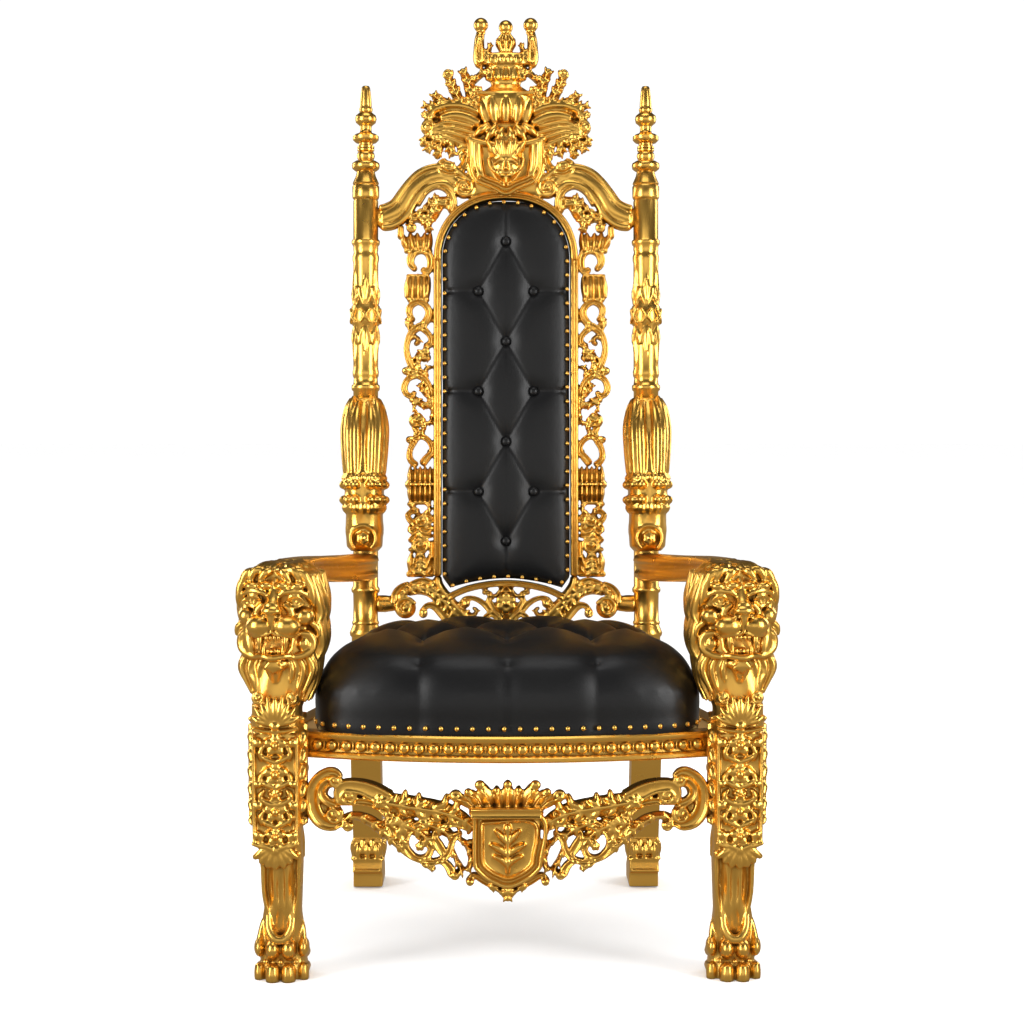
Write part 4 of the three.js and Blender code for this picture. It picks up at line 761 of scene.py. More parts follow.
for x, z, r in [(-301, 284, 18), (-299, 343, 13), (-277, 316, 17), (-277, 264, 11), (-92, 177, 9),
        (-27, 158, 8), (-66, 166, 8)]:
    apron.scroll(x, z, r, plane, thick + 2, 0.5, -1)
apron.flat([[-292, 340, 10], [-316, 336, 12], [-326, 312, 14], [-316, 286, 14],
        [-298, 284, 12]], plane + 4, thick - 3)
horn = [[-290, 304, 7], [-293, 320, 10], [-282, 333, 12], [-255, 331, 15], [-232, 322, 18], [-210, 308, 20]]
apron.flat(horn, plane, thick + 2)
apron.flat(horn, plane - thick + 1, 5, 0.6, 0.2)
apron.flat(horn, plane - thick + 1, 5, -0.6, 0.2)
apron.flower(-222, 306, 13, plane - thick - 2)
apron.flower(-152, 228, 9, plane - thick + 2)
for x, z, a in [(-196, 312, 60), (-178, 318, 80), (-154, 313, 85), (-131, 298, 70), (-107, 311, 75),
                (-86, 304, 65),
                (-66, 256, -110), (-84, 264, -100), (-140, 274, -90)]:
    u, v = math.cos(math.radians(a)), math.sin(math.radians(a))
    apron.flat([[x - 22 * u, z - 22 * v, 3, 2], [x - 8 * u, z - 8 * v, 7, -2],
            [x + 5 * u, z + 5 * v, 4, 3]], plane - 3, 10)
apron.flat([[-68, 234, 5], [-55, 234, 5]], plane, thick - 4)
apron.flat([[-12, 147, 6], [0, 142, 7]], plane, thick)
# half of the leafy brow above the shield
for x0, x1, z1, w in [(-1, 0, 340, 11), (-14, -19, 330, 9), (-30, -48, 339, 13), (-46, -68, 327, 10),
        (-60, -90, 318, 10)]:
    apron.ball(x1, -360, z1 - 3, w * 0.75, 7, w * 0.7)
    apron.flat([[x0, 296, w * 0.5, 2], [(x0 + x1) / 2, 296 + (z1 - 296) * 0.55, w, -3],
            [x1, z1, w * 0.5, 3]], -352, 12)
    apron.flat([[x0, 298, 1.5], [(x0 + x1) / 2, 298 + (z1 - 296) * 0.55, 1.8, -3],
            [x1, z1 - 8, 1.2, 3]], -364, 4)
    for k in (-1, 1):
        apron.ball((x0 + x1) / 2 + k * w * 0.8, -356, 296 + (z1 - 296) * 0.6, w * 0.45, 6, w * 0.5)
apron.scroll(-90, 316, 12, -350, 12, 0, 1)
apron.twin()
outline = [(-57, 283), (57, 283), (57, 206), (52, 190), (42, 180), (28, 171), (0, 161), (-28, 171), (-42, 180),
        (-52, 190), (-57, 206)]
apron.board(outline, -366, -332)
edge = [[x, z, 4.2] for x, z in outline]
apron.flat(edge + edge[:1], -368, 6)
inner = [[x * 0.78, 228 + (z - 228) * 0.8, 2.6] for x, z in outline]
apron.flat(inner + inner[:1], -368, 5)
apron.flat([[-63, 290, 8], [63, 290, 8]], -362, 22)
apron.flat([[-63, 297, 2.5], [63, 297, 2.5]], -381, 5)
apron.flat([[-63, 283, 2.5], [63, 283, 2.5]], -381, 5)
# the charge on the shield is a plain sprig
for s in (-1, 1):
    apron.flat([[0, 196, 2.5], [s * 10, 208, 5, -1], [s * 24, 214, 2.5]], -369, 6)
    apron.flat([[0, 214, 2.5], [s * 13, 226, 6, -1], [s * 29, 234, 3]], -369, 6)
    apron.flat([[0, 234, 2.5], [s * 9, 246, 5, -1], [s * 20, 258, 3]], -369, 6)
apron.flat([[0, 184, 2.5], [0, 225, 4], [0, 264, 5]], -369, 8)
apron.ball(0, -372, 262, 7, 6, 9)
apron.leaf([[0, 168, 9], [0, 150, 11], [0, 132, 5]], -346, 14, 3, 0.9)
shape = apron.melt("front_apron", 1.9, 1, 0.375)
show_gilded("front_apron", shape)


# Rear posts: turned and gilded columns with a carved sleeve half way up. A fluted leaf bracket stands on each arm, and
# the whole post leans back with the panel between.
turning = [(28, 430), (28, 524), (31, 528), (32, 533), (29, 540), (25.5, 549), (27, 551), (27, 555), (25, 557),
           (24.5, 585),
           (25, 612), (28, 615), (28.5, 619), (28, 622), (25, 626), (25, 700), (25, 1017), (28, 1020),
           (28.5, 1025),
           (28, 1029), (25, 1031), (24, 1040), (24, 1044), (26, 1048), (26.5, 1056), (25, 1062), (25, 1148),
           (28.5, 1152),
           (29, 1168), (28.5, 1187), (25, 1191), (25, 1275), (26.5, 1280), (26.5, 1288), (25, 1292),
           (23.8, 1297),
           (25, 1301), (25, 1309), (28, 1313), (28.5, 1317), (28, 1320), (25, 1323), (25, 1399), (23.5, 1402),
           (26, 1405), (27, 1408), (27, 1429), (24.5, 1432), (26.5, 1435), (24, 1441), (20, 1450), (18, 1459),
           (22, 1461), (27, 1465), (28, 1471), (27, 1476), (21, 1480), (15, 1482), (17, 1486), (18, 1491),
           (16.5, 1497),
           (14, 1499), (17, 1501), (17, 1504), (14.5, 1505), (17, 1506), (17, 1510), (14, 1512), (14, 1516),
           (21, 1518),
           (26, 1523), (26, 1530), (21, 1534), (13, 1537), (11.5, 1541), (11.5, 1550), (14, 1553), (20, 1558),
           (21.5, 1565), (20, 1572), (14, 1577), (12, 1579), (13.5, 1582), (13.5, 1586), (11.5, 1589),
           (12, 1592),
           (11, 1606), (9.5, 1620), (8.5, 1628), (6.5, 1631.5), (0.01, 1633)]
post_x, post_y = -281.5, 235
column = bmesh.new()
edge = [column.verts.new((r * mm + post_x * mm, post_y * mm, z * mm)) for r, z in [(0.01, 430), *turning]]
spun = [column.edges.new(pair) for pair in zip(edge, edge[1:])]
bmesh.ops.spin(column, geom=edge + spun, cent=(post_x * mm, post_y * mm, 0), axis=(0, 0, 1), angle=2 * math.pi,
               steps=40,
               use_merge=True)
bmesh.ops.remove_doubles(column, verts=column.verts, dist=0.0002)
bmesh.ops.recalc_face_normals(column, faces=column.faces)
sleeve = Carving()
for face in range(6):
    a = 60 * face
    sleeve.turn = Matrix.Translation((post_x, post_y, 0)) @ Matrix.Rotation(math.radians(a), 4, "Z")
    odd = face % 2
    for base, s in ((1168, 1), (1168, -1)):
        tip = 104 if odd else 84
        sleeve.flat([[0, base + s * 20, 5], [0, base + s * 44, 8, -1], [0, base + s * (tip - 20), 6, 0],
                [0, base + s * tip, 2, 1]], -22, 5)
        sleeve.flat([[0, base + s * 30, 1.6], [0, base + s * 60, 2, -1],
                [0, base + s * (tip - 8), 1.2, 1]], -26.5, 3)
        for k in (-1, 1):
            sleeve.flat([[k * 2, base + s * 22, 2.4], [k * 10, base + s * 40, 3, 0.5],
                    [k * 11, base + s * 62, 1.6, 2.5]], -24.5, 3.5)
    sleeve.flat([[-10, 1154, 3], [0, 1168, 4, -2], [10, 1182, 3]], -27, 5)
    sleeve.flat([[10, 1154, 3], [0, 1168, 4, -2], [-10, 1182, 3]], -27, 5)
sleeve.turn = Matrix()
sleeve.skin([rounded(post_x, 235, z, 24.6, 24.6, 2, 32) for z in (1064, 1150, 1190, 1274)])
# the bracket: a corbel, two rows of pearls, and a sheath of fluted leaves that leans in to the column
sleeve.skin([rounded(post_x, 208, 697, 27, 37), rounded(post_x, 204, 706, 35, 46),
             rounded(post_x, 199, 738, 37, 51),
             rounded(post_x, 197, 772, 36, 53), rounded(post_x, 196, 779, 41, 57),
             rounded(post_x, 196, 790, 39, 56),
             rounded(post_x, 196, 832, 38, 55), rounded(post_x, 196, 842, 41, 57),
             rounded(post_x, 198, 850, 37, 54),
             rounded(post_x, 202, 890, 37, 50), rounded(post_x, 207, 930, 38, 46),
             rounded(post_x, 216, 970, 34, 36),
             rounded(post_x, 228, 1003, 26, 25)])
turns = np.linspace(0, 2 * np.pi, 29)[:-1]
around = [(post_x + 41 * c, 196 + 57 * s) for c, s in zip(
    np.sign(np.cos(turns)) * abs(np.cos(turns)) ** 0.67, np.sign(np.sin(turns)) * abs(np.sin(turns)) ** 0.67)]
for z in (828, 798):
    for x, y in around[::2]:
        sleeve.ball(x, y, z, 9.5, 9.5, 8.5)
for k, (x, y) in enumerate(around):
    u, v = (x - post_x) / 41, (y - 196) / 57
    out = (u, v, 0)
    sleeve.cord([[x - u, y - v, 848, 3], [x + u, y + v, 841, 4.5], [x - u, y - v, 834, 2]], face=out, share=0.8)
    sleeve.cord([[x - u, y - v, 790, 3], [x, y, 782, 4.5], [x - 3 * u, y - 3 * v, 773, 2]], face=out, share=0.8)
    if k % 2 == 0:
        lean = 12 * (0.5 + 0.5 * math.cos(k * 0.9))
        sleeve.cord([[post_x + 37 * u, 198 + 53 * v, 852, 7], [post_x + 39 * u, 202 + 51 * v, 892, 9],
                     [post_x + 41 * u, 208 + 48 * v, 940, 9], [post_x + 37 * u, 216 + 40 * v, 982 - lean, 7.5],
                     [post_x + 29 * u, 224 + 30 * v, 1004 - lean, 5]], face=out, share=0.9)
        sleeve.cord([[post_x + 32 * u, 201 + 46 * v, 770, 4], [post_x + 35 * u, 201 + 49 * v, 738, 5],
                    [post_x + 31 * u, 205 + 42 * v, 708, 3]],
                    face=out, share=0.7)
arc = [[post_x + 25 * math.cos(a), 722 + 25 * math.sin(a), 4] for a in np.linspace(-0.9, math.pi + 0.9, 12)]
sleeve.flat(arc, 150, 6)
sleeve.ball(post_x, 150, 722, 15, 6, 15)
sleeve.flower(post_x, 722, 14, 144, 6)
carved = sleeve.melt("sleeve", 2.2, 1, 0.27)
column.from_mesh(carved)
right = bpy.data.meshes.new("rear_post")
column.to_mesh(right)
column.free()
right.shade_smooth()
right.set_sharp_from_angle(angle=math.radians(50))
leaned(right)
left = mirror_mesh(right, "rear_post_left_carved")
show("rear_post_right_carved", right, ["rear_post_right"], gold)
show("rear_post_left_carved", left, ["rear_post_left"], gold)


# Crest: leaf sprays and horns around an urn, a shield with a mask, and a crown of three finials, carved from one
# thick board and gilded. Its shoulders are jointed into the posts and its arch frames the top of the pad.
crest = Carving()
plane, thick = 233, 15
for path in [
        [[-249, 1366, 27], [-232, 1369, 29], [-213, 1382, 27], [-198, 1405, 25], [-182, 1427, 24],
        [-163, 1443, 25], [-138, 1451, 25], [-112, 1449, 25], [-88, 1432, 24], [-60, 1420, 18]],
        [[-176, 1392, 5], [-160, 1418, 6], [-138, 1429, 6], [-116, 1420, 7], [-105, 1398, 8], [-112, 1374, 8]],
        [[-84, 1504, 8], [-80, 1484, 9], [-88, 1466, 9], [-106, 1456, 9], [-126, 1460, 9], [-131, 1474, 7],
        [-120, 1480, 6]],
        [[-57, 1614, 5], [-64, 1600, 7], [-60, 1588, 7]]]:
    crest.ribbon(path, plane, thick, 0.24)
crest.flat([[-246, 1366, 8], [-213, 1384, 9], [-184, 1425, 8], [-138, 1451, 8],
        [-90, 1434, 7]], plane - thick + 4, 3)
for path, lobes in [
        ([[-190, 1342, 8], [-193, 1356, 9], [-180, 1365, 10], [-160, 1362, 13], [-146, 1372, 14],
        [-138, 1390, 16], [-124, 1400, 13], [-118, 1388, 8]], 7),
        ([[-182, 1372, 8], [-166, 1378, 9], [-152, 1394, 10], [-136, 1410, 8]], 4),
        ([[-150, 1366, 9], [-158, 1352, 11], [-153, 1338, 7]], 3),
        ([[-64, 1640, 6], [-52, 1654, 9], [-38, 1662, 8], [-26, 1660, 6]], 3),
        ([[-42, 1690, 8], [-34, 1705, 7], [-30, 1718, 4]], 2)]:
    crest.leaf(path, plane, thick, lobes, 0.85)
# acanthus leaves fan out beside the urn
for path, lobes in [
        ([[-74, 1590, 10], [-70, 1612, 14], [-76, 1640, 13], [-90, 1668, 8]], 4),
        ([[-90, 1592, 10], [-98, 1612, 13], [-110, 1636, 12], [-118, 1656, 8]], 4),
        ([[-104, 1592, 9], [-122, 1600, 11], [-140, 1606, 10], [-146, 1620, 5]], 3),
        ([[-124, 1584, 8], [-144, 1590, 10], [-160, 1590, 8], [-168, 1598, 4]], 3),
        ([[-140, 1568, 7], [-156, 1570, 8], [-168, 1576, 6]], 2),
        ([[-92, 1520, 10], [-88, 1504, 12], [-84, 1486, 9]], 3),
        ([[-108, 1524, 9], [-112, 1508, 11], [-106, 1488, 8]], 3),
        ([[-124, 1526, 9], [-134, 1508, 11], [-138, 1488, 8]], 3),
        ([[-138, 1530, 8], [-152, 1512, 10], [-160, 1496, 7]], 3),
        ([[-148, 1538, 7], [-162, 1526, 8], [-169, 1512, 6]], 2)]:
    crest.leaf(path, plane, thick, lobes, 0.9)
crest.board([(-150, 1520), (-60, 1508), (-40, 1560), (-70, 1600), (-120, 1604), (-150, 1588),
        (-162, 1556)], 232, 246)
for x, z, r in [(-116, 1655, 12), (-57, 1623, 10), (-114, 1469, 13), (-84, 1425, 23), (-190, 1345, 11),
        (-118, 1470, 12)]:
    crest.scroll(x, z, r, plane, thick + 2, 0.6, -1)
# a crescent over an oval boss, and feathers that sweep down to the shield
crest.flat([[-160, 1560, 5], [-152, 1574, 8], [-134, 1587, 10], [-108, 1592, 11], [-80, 1589, 11],
        [-54, 1578, 9]], plane, thick + 3)
crest.flat([[-130, 1566, 10], [-106, 1572, 13], [-80, 1568, 14], [-54, 1556, 12]], plane, thick + 1)
for x0, z0, x1, z1, x2, z2 in [(-150, 1546, -116, 1556, -62, 1546), (-148, 1542, -112, 1545, -56, 1532),
        (-146, 1538, -110, 1534, -58, 1518), (-142, 1532, -112, 1523, -76, 1508)]:
    crest.flat([[x0, z0, 4, 2], [x1, z1, 7.5, -3], [x2, z2, 6]], plane, thick + 2)
crest.scroll(-157, 1547, 16, plane, thick + 2, 0.3, 1, 1.0, 0.45)
# side finials of the crown
crest.flat([[-52, 1672, 9], [-56, 1684, 10], [-54, 1705, 11], [-53, 1725, 10], [-50, 1741, 8]], 230, 14)
crest.flat([[-56, 1676, 3], [-60, 1700, 3, -1], [-55, 1730, 2.5]], 216, 4)
crest.flat([[-48, 1676, 3], [-48, 1700, 3, -1], [-50, 1730, 2.5]], 216, 4)
crest.ball(-50, 230, 1754, 15)
crest.ball(-50, 230, 1738, 10, 10, 4)
crest.twin()
arch = []
for k in range(29):
    a = math.pi * k / 28
    c = abs(math.cos(a)) ** (2 / 2.2) * math.copysign(1, math.cos(a))
    arch.append([137 * c, 1280 + 129 * math.sin(a) ** (2 / 2.2), 8.5])
crest.flat(arch, 235, 18)
crest.flat(arch, 217, 5, 0.55, 0.3)
crest.flat(arch, 217, 5, -0.55, 0.3)
crest.board([(-66, 1408), (0, 1416), (66, 1408), (76, 1440), (78, 1500), (76, 1526), (48, 1552), (-48, 1552),
        (-76, 1526), (-78, 1500), (-76, 1440)], 218, 250)
shield = [(-74, 1524), (-73, 1470), (-68, 1448), (-56, 1433), (-24, 1420), (0, 1409), (24, 1420), (56, 1433),
        (68, 1448), (73, 1470), (74, 1524)]
crest.board(shield + [(40, 1512), (-40, 1512)], 203, 246)
crest.flat([[x * 0.95, z, 4] for x, z in shield], 201, 6)
crest.flat([[x * 0.80, 1480 + (z - 1480) * 0.78, 2.6] for x, z in shield], 201, 5)
crest.flat([[-78, 1520, 6], [-40, 1510, 7], [0, 1507, 7], [40, 1510, 7], [78, 1520, 6]], 204, 9)
for x in (-62, -52, 52, 62):
    crest.flat([[x, 1508, 3], [x * 0.97, 1470, 3.4], [x * 0.86, 1444, 2]], 201, 5)
# mask on the shield
crest.skin([rounded(0, 210, 1430, 8, 12, 2.4), rounded(0, 206, 1442, 19, 22, 2.4),
            rounded(0, 204, 1460, 30, 24, 2.4),
            rounded(0, 204, 1485, 32, 24, 2.4), rounded(0, 206, 1504, 30, 20, 2.4),
            rounded(0, 210, 1514, 18, 12, 2.4)])
for s in (-1, 1):
    crest.ball(s * 11, 184, 1462, 5, 4, 4)
    crest.flat([[s * 3, 1470, 3], [s * 12, 1473, 3.6, -2], [s * 23, 1466, 2.5]], 183, 5)
    crest.ball(s * 15, 186, 1450, 7, 6, 6)
    crest.flat([[s * 2, 1443, 2.5], [s * 11, 1443, 3], [s * 17, 1448, 2]], 185, 5)
    crest.scroll(s * 27, 1497, 11, 190, 8, 0, s)
    for x0, x1, z1 in ((4, 8, 1522), (12, 20, 1522), (22, 38, 1512)):
        crest.flat([[x0 * s, 1484, 3], [(x0 + x1) / 2 * s, 1500, 5.5, -3], [x1 * s, z1, 3]], 187, 8)
    crest.flat([[s * 8, 1438, 3], [s * 18, 1448, 4], [s * 31, 1462, 4], [s * 36, 1484, 3]], 192, 8)
crest.flat([[0, 1474, 3], [0, 1462, 4, -3], [0, 1455, 5, -4]], 182, 6)
crest.flat([[0, 1444, 5], [0, 1428, 3]], 190, 9)
# urn of tulip leaves and the crown band
crest.skin([rounded(0, 235, 1528, 30, 17, 2.2), rounded(0, 235, 1552, 32, 19, 2.2),
            rounded(0, 235, 1556, 38, 23, 2.2),
            rounded(0, 232, 1562, 45, 28, 2.2), rounded(0, 230, 1580, 52, 32, 2.2),
            rounded(0, 230, 1600, 56, 34, 2.2),
            rounded(0, 231, 1610, 58, 34, 2.2), rounded(0, 232, 1616, 56, 32, 2.2),
            rounded(0, 235, 1622, 44, 26, 2.2),
            rounded(0, 235, 1632, 29, 20, 2.2), rounded(0, 235, 1640, 31, 21, 2.2),
            rounded(0, 235, 1645, 42, 24, 2.2),
            rounded(0, 235, 1664, 37, 22, 2.2), rounded(0, 235, 1671, 40, 24, 2.2),
            rounded(0, 235, 1673, 50, 27, 2.2),
            rounded(0, 235, 1691, 51, 27, 2.2), rounded(0, 235, 1696, 46, 24, 2.2)])
for k in (-2, -1, 0, 1, 2):
    a = k * 0.52
    crest.cord([[44 * math.sin(a), 231 - 27 * math.cos(a), 1556, 7],
                [52 * math.sin(a), 230 - 32 * math.cos(a), 1580, 10],
                [56 * math.sin(a), 231 - 34 * math.cos(a), 1602, 5]], share=0.8)
    crest.cord([[40 * math.sin(a), 235 - 24 * math.cos(a), 1644, 7],
            [37 * math.sin(a), 235 - 23 * math.cos(a), 1664, 4]])
crest.flat([[-57, 1611, 3.5], [0, 1611, 3.5], [57, 1611, 3.5]], 203, 5)
for s in (-1, 1):
    for x0, z0, x1, z1, w in ((8, 1538, 16, 1516, 9), (22, 1544, 38, 1520, 10), (38, 1548, 58, 1530, 9),
            (4, 1526, 6, 1506, 7)):
        crest.flat([[s * x0, z0, w * 0.7, 2], [s * (x0 + x1) / 2, (z0 + z1) / 2, w, -4],
                [s * x1, z1, w * 0.5, 2]], 214, 14)
for k in range(-5, 6):
    crest.ball(50 * math.sin(k * 0.3), 235 - 27 * math.cos(k * 0.3), 1682, 5, 4, 7)
crest.skin([rounded(0, 233, 1692, 13, 15, 2.2), rounded(0, 233, 1702, 14, 14, 2.2),
            rounded(0, 233, 1714, 21, 17, 2.2),
            rounded(0, 233, 1726, 20, 16, 2.2), rounded(0, 233, 1734, 11, 11, 2.2),
            rounded(0, 233, 1740, 10, 10, 2.2)])
for k in (-1, 0, 1):
    crest.cord([[k * 8, 218, 1698, 3], [k * 14, 214, 1718, 4.5], [k * 7, 220, 1734, 3]])
crest.ball(0, 231, 1750, 14.5)
shape = leaned(crest.melt("back_crest", 1.9, 1, 0.38))
show_gilded("back_crest", shape)


# Stiles: a plain gilded moulding against the pad and, outside it, a pierced chain of scrolls, husks and knots. Small
# bridges tie the chain to the moulding, between the crest and the bottom rail.
stile = Carving()
plane, thick = 235, 13
stile.flat([[-137, 1280, 8.5], [-137, 960, 8.5], [-137, 644, 8.5]], 235, 18)
for s in (-0.6, 0.6):
    stile.flat([[-137, 1280, 8.5], [-137, 960, 8.5], [-137, 644, 8.5]], 218, 5, s, 0.3)
for path in [
        [[-211, 1349, 6], [-211, 1326, 7]],
        [[-182, 1262, 6], [-192, 1276, 8], [-186, 1294, 8], [-170, 1301, 8], [-156, 1294, 8], [-150, 1276, 8],
        [-156, 1258, 7], [-168, 1262, 6]],
        [[-176, 1196, 5], [-191, 1189, 7], [-194, 1176, 7], [-190, 1164, 6], [-182, 1156, 6]],
        [[-176, 1196, 5], [-161, 1190, 7], [-154, 1174, 8], [-160, 1158, 8], [-172, 1146, 8]],
        [[-172, 1148, 8], [-190, 1134, 7], [-199, 1108, 6], [-196, 1084, 7], [-184, 1060, 8], [-170, 1050, 8]],
        [[-172, 1148, 8], [-155, 1132, 6], [-149, 1116, 6], [-158, 1107, 7], [-166, 1114, 6]],
        [[-200, 1058, 7], [-186, 1052, 7], [-168, 1046, 8], [-154, 1028, 6], [-150, 1008, 5], [-156, 992, 7]],
        [[-176, 1048, 5], [-196, 1042, 6], [-204, 1022, 7], [-196, 1008, 6], [-184, 1010, 6], [-184, 1022, 5]],
        [[-184, 946, 6], [-178, 932, 7], [-184, 916, 7], [-192, 900, 6], [-192, 880, 7], [-176, 866, 7]],
        [[-184, 920, 5], [-168, 926, 6], [-152, 914, 6], [-148, 896, 6], [-158, 884, 8], [-170, 868, 8]],
        [[-176, 776, 5], [-194, 774, 6], [-196, 762, 6], [-184, 752, 7]],
        [[-164, 770, 5], [-150, 764, 6], [-152, 754, 5], [-166, 752, 6]],
        [[-184, 750, 6], [-194, 738, 6], [-184, 736, 6], [-172, 742, 7], [-158, 736, 7], [-150, 742, 5],
        [-158, 750, 5]],
        [[-192, 716, 6], [-184, 726, 6], [-166, 728, 6], [-150, 727, 5]],
        [[-150, 716, 4], [-150, 690, 4], [-152, 676, 6]]]:
    stile.ribbon(path, plane, thick)
for path, lobes in [
        ([[-190, 1166, 5], [-198, 1156, 7], [-194, 1148, 7], [-186, 1150, 5]], 2), ([[-192, 1122, 5],
        [-182, 1127, 6], [-175, 1118, 7], [-182, 1112, 6]], 2),
        ([[-160, 1108, 6], [-162, 1096, 10], [-174, 1090, 10], [-178, 1072, 8], [-170, 1052, 5]], 5),
        ([[-162, 1100, 4], [-154, 1084, 5], [-166, 1082, 8]], 2),
        ([[-150, 1066, 5], [-160, 1062, 6], [-160, 1044, 5]], 2), ([[-152, 1002, 4], [-160, 1012, 8],
        [-168, 1024, 8], [-174, 1032, 5]], 3),
        ([[-192, 998, 5], [-180, 1000, 8], [-170, 992, 9], [-160, 988, 9], [-149, 992, 6]], 4),
        ([[-182, 998, 4], [-185, 984, 4], [-180, 974, 4]], 2),
        ([[-152, 992, 4], [-148, 976, 4], [-150, 958, 5]], 2), ([[-172, 968, 5], [-162, 954, 5],
        [-148, 954, 5]], 2),
        ([[-161, 952, 4], [-168, 934, 6], [-176, 928, 6]], 2), ([[-196, 792, 5], [-186, 784, 6],
        [-176, 774, 6]], 2),
        ([[-160, 792, 4], [-152, 782, 5], [-160, 772, 6]], 2), ([[-194, 700, 5], [-184, 698, 7]], 1),
        ([[-176, 742, 8], [-174, 722, 8]], 2), ([[-172, 694, 11], [-172, 672, 14], [-174, 650, 14]], 4)]:
    stile.leaf(path, plane, thick + 1, lobes, 0.85)
for x, z, r in [(-201, 1058, 9), (-180, 958, 17), (-194, 920, 8), (-172, 758, 16), (-172, 708, 20)]:
    stile.scroll(x, z, r, plane, thick + 1, 1.2, -1)
# leafy cap under the crest, the husk, the pearled knot and the foot
for x0, z0, x1, z1, w in [(-198, 1304, -206, 1328, 9), (-186, 1302, -192, 1332, 9), (-176, 1300, -178, 1331, 9),
                          (-166, 1300, -163, 1331, 9), (-156, 1300, -152, 1332, 8),
                          (-198, 1206, -196, 1246, 8), (-188, 1202, -186, 1248, 9), (-176, 1200, -176, 1250, 9),
                          (-164, 1202, -164, 1248, 9), (-158, 1206, -154, 1244, 6),
                          (-192, 662, -190, 688, 8), (-158, 662, -152, 688, 8), (-184, 650, -192, 664, 9),
                          (-158, 650, -150, 664, 9)]:
    stile.flat([[x0, z0, w * 0.7, 1], [(x0 + x1) / 2, (z0 + z1) / 2, w, -2],
            [x1, z1, w * 0.5, 3]], plane, thick)
    stile.flat([[x0, z0, 2], [(x0 + x1) / 2, (z0 + z1) / 2, 2.2, -2], [x1, z1, 1.5, 3]], plane - thick, 4)
stile.flat([[-202, 1299, 5], [-150, 1299, 5]], plane, thick)
stile.flat([[-196, 1201, 5], [-156, 1201, 5]], plane, thick + 1)
stile.flat([[-198, 1249, 4], [-156, 1249, 4]], plane, thick)
for z0, z1 in ((862, 833), (798, 827)):
    for k in range(5):
        x = -192 + 10 * k
        stile.flat([[x, z0, 3, 3], [x, (z0 + z1) / 2, 6.5, -2], [x, z1, 5]], plane, thick)
        stile.flat([[x, z0, 1.8, 3], [x, (z0 + z1) / 2, 2, -2], [x, z1, 2]], plane - thick, 4)
for k in range(5):
    stile.ball(-193 + 10.5 * k, plane - thick, 830, 5, 6, 5)
stile.flat([[-198, 830, 9], [-148, 830, 9]], plane + 1, thick - 1)
stile.flat([[-194, 793, 4], [-152, 793, 4]], plane, thick)
stile.flat([[-197, 650, 6], [-142, 650, 6]], plane, thick)
for z in (1276, 1160, 1116, 1000, 896, 830, 668):
    stile.flat([[-156, z, 4.5], [-142, z, 4.5]], 236, 11)
right = leaned(stile.melt("back_stile", 1.8, 1, 0.36))
show_pair("back_stile", right)


# Bottom of the back: an arched gilded rail under the pad, a lattice of crossing scrolls with a flower, and the plain
# bar that it stands on behind the seat. A block at each end meets the post.
low = Carving()
for path in [
        [[-190, 630, 6], [-168, 636, 8], [-148, 630, 8], [-126, 610, 8], [-106, 586, 8]],
        [[-196, 632, 4], [-212, 622, 8], [-222, 606, 9], [-218, 588, 9]],
        [[-168, 574, 7], [-160, 586, 6], [-144, 586, 8], [-128, 570, 9], [-116, 556, 9]],
        [[-92, 588, 5], [-84, 600, 5], [-66, 602, 5], [-46, 592, 6], [-30, 574, 6], [-10, 556, 7]],
        [[-45, 614, 6], [-32, 612, 5], [-34, 598, 6], [-24, 580, 6], [-8, 562, 7]],
        [[-46, 556, 6], [-36, 568, 6], [-22, 568, 6], [-10, 552, 7]]]:
    low.ribbon(path, plane, thick)
for path, lobes in [
        ([[-196, 616, 12], [-172, 622, 16], [-148, 616, 17], [-126, 596, 17], [-104, 574, 14],
        [-88, 560, 9]], 8),
        ([[-184, 622, 7], [-202, 614, 9], [-212, 602, 7]], 3), ([[-110, 572, 12], [-84, 572, 10],
        [-66, 562, 8]], 4),
        ([[-78, 562, 5], [-66, 566, 6], [-58, 578, 5], [-66, 582, 4]], 2), ([[-34, 610, 4], [-22, 606, 5],
        [-12, 616, 5], [-2, 624, 5]], 2)]:
    low.leaf(path, plane, thick + 1, lobes, 0.85)
for x, z, r in [(-202, 583, 24), (-166, 571, 10), (-80, 591, 9)]:
    low.scroll(x, z, r, plane, thick + 2, 0.4, 1)
low.flat([[-137, 643, 8.5], [-134, 628, 9], [-119, 607, 9], [-100, 585, 9], [-80, 563, 9],
        [-66, 546, 8]], 235, 18)
low.flat([[-226, 591, 15], [-240, 591, 17], [-256, 591, 17]], 236, 14)
low.twin()
bow = [[-112, 606, 7], [-80, 620, 7], [-40, 629, 7], [0, 632, 7], [40, 629, 7], [80, 620, 7], [112, 606, 7]]
low.flat(bow, 235, 18)
for s in (-0.6, 0.6):
    low.flat(bow, 218, 5, s, 0.3)
low.flower(0, 592, 22, 219, 6)
low.ball(0, 234, 592, 20, 14, 20)
low.flat([[-26, 590, 4], [26, 590, 4]], plane, thick - 3)
low.flat([[0, 616, 4], [0, 592, 5], [0, 560, 5]], plane, thick - 3)
low.board([(-215, 501), (215, 501), (215, 555), (-215, 555)], 222, 255)
low.flat([[-213, 551, 5], [213, 551, 5]], 222, 5)
shape = leaned(low.melt("back_bottom_rail", 2.0, 1, 0.34))
show_gilded("back_bottom_rail", shape)


